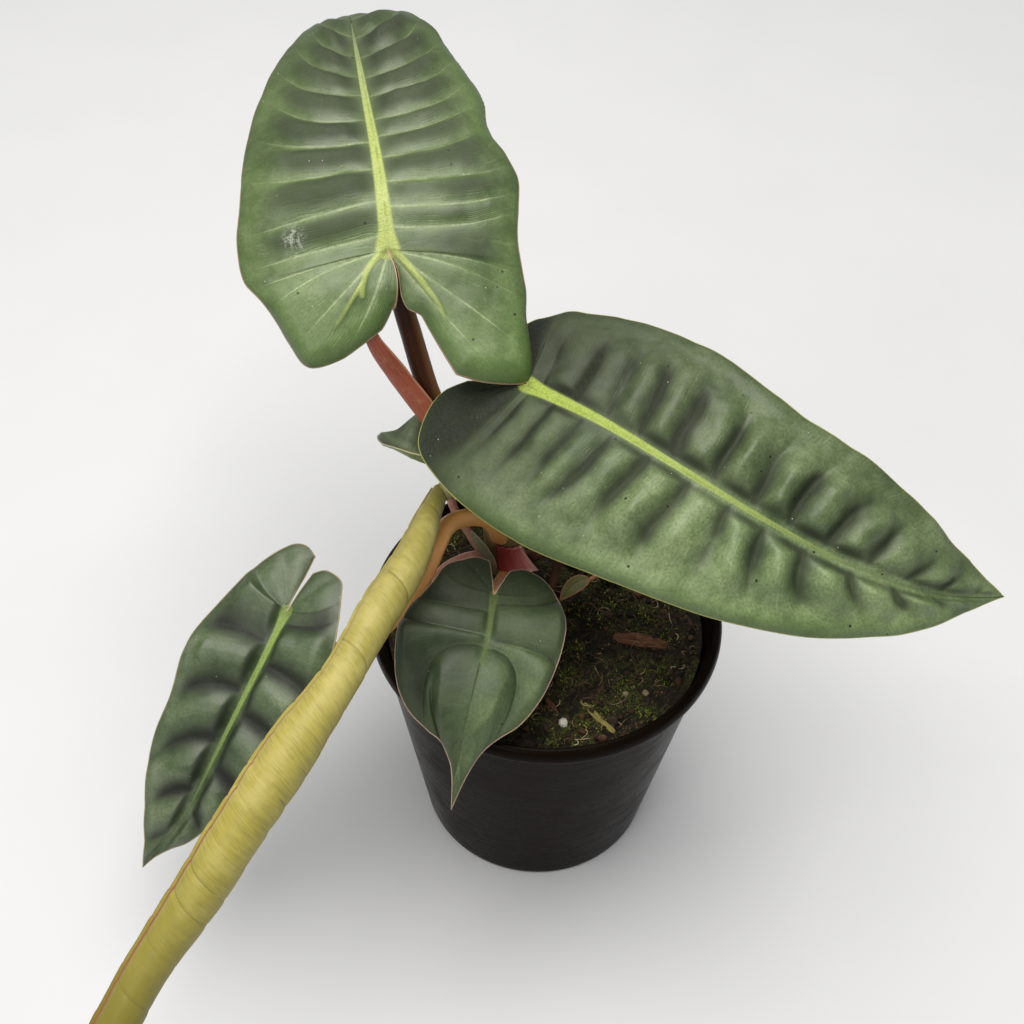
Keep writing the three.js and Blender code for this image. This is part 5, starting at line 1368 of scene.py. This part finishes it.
def build_moss(name):
    rng = np.random.default_rng(MOSS_SEED)
    heap = Heap()
    faces = [[0, 1, 4, 3], [1, 2, 5, 4], [2, 0, 3, 5], [3, 4, 6], [4, 5, 6], [5, 3, 6], [2, 1, 0]]
    for centre_x, centre_y, spread in MOSS_SPOTS:
        for _ in range(int(spread * MOSS_DENSITY)):
            x, y = np.array([centre_x, centre_y]) + rng.normal(0, spread * 0.42, 2)
            if math.hypot(x, y) > inner_radius(SOIL_TOP) - LITTER_EDGE:
                continue
            size = rng.uniform(*MOSS_SIZES)
            lean_x, lean_y = rng.normal(0, 0.45, 2) * size
            turn = rng.uniform(0, FULL_TURN)
            base = ground(x, y) - 0.15
            foot = triangle(x, y, base, 0.22 * size, turn)
            middle = triangle(x + lean_x * 0.5, y + lean_y * 0.5, base + 0.55 * size, 0.3 * size, turn + 0.5)
            tip = [x + lean_x, y + lean_y, base + 1.15 * size]
            heap.add([*foot, *middle, tip], faces, rng.uniform(0, 1))
    return heap.make(name)


def litter_material(name, grain, dark, share, roughness, bump, shades):
    s = Shader(name)
    grain = s.noise(*grain)
    body = s.mix(s.step(grain, 0.4, 0.7, 0.0, share), s.ramp(s.attribute("shade"), *shades), dark)
    return s.finish(body, s.step(grain, 0.3, 0.7, *roughness), s.bump(grain, *bump), 0.35)


# Pieces lying on the soil

SUNK = 0.3
WOODS = {
    "bark": ((0.03, 0.012, 0.006), (0.13, 0.055, 0.028), (0.26, 0.13, 0.07)),
    "straw": ((0.1, 0.08, 0.02), (0.26, 0.22, 0.06), (0.42, 0.36, 0.13)),
}
DEBRIS = {
    "bark_long": ("bark", dict(ends=[[17.2, -3.6], [31.6, -5.2]], wide=2, high=1, seed=1)),
    "bark_short": ("bark", dict(ends=[[-27, -8], [-21.5, -17]], wide=1.8, high=0.9, seed=2)),
    "twig_dead": ("straw", dict(ends=[[9, -24], [17.4, -33]], wide=0.9, high=0.8, seed=3)),
    "stalk_dead": ("bark", dict(ends=[[0.6, -23], [3.6, -29]], wide=0.8, high=0.8, seed=4)),
}
PERLITES = {
    "perlite": ((0.4, 0.37, 0.31), (0.68, 0.66, 0.6), (0.82, 0.81, 0.77)),
    "perlite_dusty": ((0.09, 0.065, 0.03), (0.24, 0.2, 0.11), (0.42, 0.38, 0.25)),
}
GRAINS = {
    "perlite_a": ("perlite", dict(place=[4.9, -30.6], radius=1.25, seed=0)),
    "perlite_b": ("perlite_dusty", dict(place=[25.3, -20.5], radius=0.9, seed=1)),
    "perlite_c": ("perlite_dusty", dict(place=[20.3, -21.3], radius=0.8, seed=2)),
}


def build_debris(name, ends, wide, high, seed):
    start, end = ends
    path = []
    for t in (0, 0.5, 1):
        x, y = (start[k] + (end[k] - start[k]) * t for k in range(2))
        path.append([x, y, float(soil_height(x, y)) + SUNK * high])

    def section(u, angle):
        taper = 0.45 + 0.55 * np.sqrt(np.clip(np.sin(math.pi * u), 0, 1))
        corner = 1 + 0.14 * np.cos(4 * angle + seed) + 0.1 * np.sin(9 * u + 3 * angle + seed)
        return wide * taper * corner * np.cos(angle), high * taper * corner * np.sin(angle)
    return build_bar(name, path, [wide, wide], sides=40, step=0.3, uneven=0.16, seed=seed, section=section,
                     up=[0, 0, 1], closed=0.5)


def wood_material(name, dark, mid, pale):
    s = Shader(name)
    streak = s.noise(1.0, 5, 0.7, where=s.fibres(5.0, 5.0, 0.5))
    pit = s.noise(1.1, 4, 0.7)
    body = s.ramp(streak, (0.34, dark), (0.52, mid), (0.7, pale))
    body = s.mix(s.step(pit, 0.5, 0.7, 0.0, 0.6), body, dark)
    return s.finish(body, s.step(streak, 0.3, 0.7, 0.7, 0.9), s.bump(streak + pit * 0.5, 0.35, 0.9), 0.3)


def build_grain(name, place, radius, seed):
    shape, faces = crumb_shape()
    bumps = 1 + 0.25 * rough(shape * 1.3 + 5.1 * seed, 1.0, 4)
    x, y = place
    points = shape * bumps[:, None] * radius + [x, y, float(soil_height(x, y)) + SUNK * radius]
    return make_object(name, points, faces)


def perlite_material(name, dark, mid, pale):
    s = Shader(name)
    pit = s.noise(0.5, 4, 0.7)
    body = s.ramp(pit, (0.3, dark), (0.55, mid), (0.75, pale))
    return s.finish(body, s.step(pit, 0.3, 0.7, 0.75, 0.9), s.bump(pit, 0.25, 0.9), 0.3)


def build_ground():
    dress(build_soil("soil_peat"), soil_material(), "peat", "soil")
    for name, build in (("crumbs", build_crumbs), ("fibres", build_fibres), ("moss", build_moss)):
        dress(build("soil_" + name), litter_material(name, **LITTER[name]), "peat")
    woods = {name: wood_material(name, *colors) for name, colors in WOODS.items()}
    for name, (slot, shape) in DEBRIS.items():
        dress(build_debris("loose_" + name, **shape), woods[slot], slot, name)
    whites = {name: perlite_material(name, *colors) for name, colors in PERLITES.items()}
    for name, (white, shape) in GRAINS.items():
        dress(build_grain("loose_" + name, **shape), whites[white], "perlite", name)


# The pot

POT_FOOT = [[12, 0], [29.2, 0], [29.9, 0.0], [30.6, 0.12], [31.1, 0.5], [31.45, 1.0], [31.6, 1.6]]
BEAD_PROFILE = [[-0.7, 0], [-0.1, 0.8], [0, 2.2], [-0.4, 3.7], [-1.4, 4.6], [-2.2, 4.4], [-2.7, 3.5]]
POT_SECTORS, WALL_STEPS, INSIDE_STEPS, BEAD_STEPS = 160, 40, 20, 40
HOLES, HOLE_CIRCLE, HOLE_RADIUS, HOLE_SIDES = 6, 21, 3.6, 40
HOLE_HEIGHTS = [[-2.0], [4.0]]
SHARP_ANGLE = 35


def pot_outline():
    """The radius and height of points from the underside's middle up the outside and down the inside."""
    bead_foot = POT_HEIGHT - POT_BEAD
    foot, low = POT_FOOT[-1]
    wall = [[foot + (POT_BODY_TOP - foot) * k / WALL_STEPS, low + (bead_foot - low) * k / WALL_STEPS]
            for k in range(1, WALL_STEPS + 1)]
    bead = catmull([[r + POT_RIM, z + bead_foot] for r, z in BEAD_PROFILE], BEAD_STEPS, mirrored=False)
    inside = [[inner_radius(z), z] for z in np.linspace(bead_foot - 3, POT_WALL, INSIDE_STEPS)]
    ledge, lip = [POT_RIM - 1.2, bead_foot - 0.05], [inner_radius(bead_foot), bead_foot - 1]
    return np.array([*POT_FOOT, *wall, ledge, *bead, lip, *inside, [POT_FOOT[0][0], POT_WALL]])


def build_pot(name):
    r, z = pot_outline().T[..., None]
    faces = [face[::-1] for face in tube_faces(len(r), POT_SECTORS)]
    item = make_object(name, upright(r, circle(POT_SECTORS), z).reshape(-1, 3), faces)
    cutters = Heap()
    drill = upright(HOLE_RADIUS, circle(HOLE_SIDES), np.array(HOLE_HEIGHTS)).reshape(-1, 3)
    for k in range(HOLES):
        middle = upright(HOLE_CIRCLE, FULL_TURN * (k + 0.5) / HOLES, 0)
        cutters.add(drill + middle, tube_faces(2, HOLE_SIDES), 0)
    tool = cutters.make("pot_holes", smooth=False)
    cut = item.modifiers.new("holes", "BOOLEAN")
    cut.object = tool
    cut.operation = "DIFFERENCE"
    cut.solver = "EXACT"
    bpy.context.view_layer.update()
    done = bpy.data.meshes.new_from_object(item.evaluated_get(bpy.context.evaluated_depsgraph_get()))
    item.modifiers.clear()
    item.data = done
    bpy.data.objects.remove(tool)
    item.data.shade_smooth()
    item.data.set_sharp_from_angle(angle=math.radians(SHARP_ANGLE))
    return item


def pot_material():
    s = Shader("pot_plastic")
    scuff = s.noise(1.0, 5, 0.7, where=s.stretched(90, 90, 700))
    dust = s.noise(14, 5, 0.65)
    # Black plastic whose brown tint is a painted reflection of warm surroundings, paler where dusty
    body = s.mix(s.step(dust, 0.5, 0.75, 0.0, 0.4), (0.005, 0.0028, 0.0016), (0.013, 0.0075, 0.0045))
    line = s.step(s.noise(1.0, 4, 0.7, where=s.stretched(260, 260, 2600)), 0.6, 0.72)
    body = s.mix(line * 0.08, body, (0.08, 0.065, 0.05))
    roughness = s.step(scuff, 0.3, 0.7, 0.2, 0.34) + s.step(dust, 0.45, 0.7, 0.0, 0.1)
    height = scuff + s.noise(0.4, 2, 0.6) * 0.3
    return s.finish(body, roughness, s.bump(height, 0.04, 0.3), 0.03)


# Building

make_camera()
build_stage()
build_leaves()
build_stalks()
dress(build_roll("leaf_rolled"), roll_material(), "leaf_new", "rolled_leaf")
build_sheaths()
build_ground()
dress(build_pot("pot_shell"), pot_material(), "pot_plastic", "pot")

bpy.context.view_layer.update()
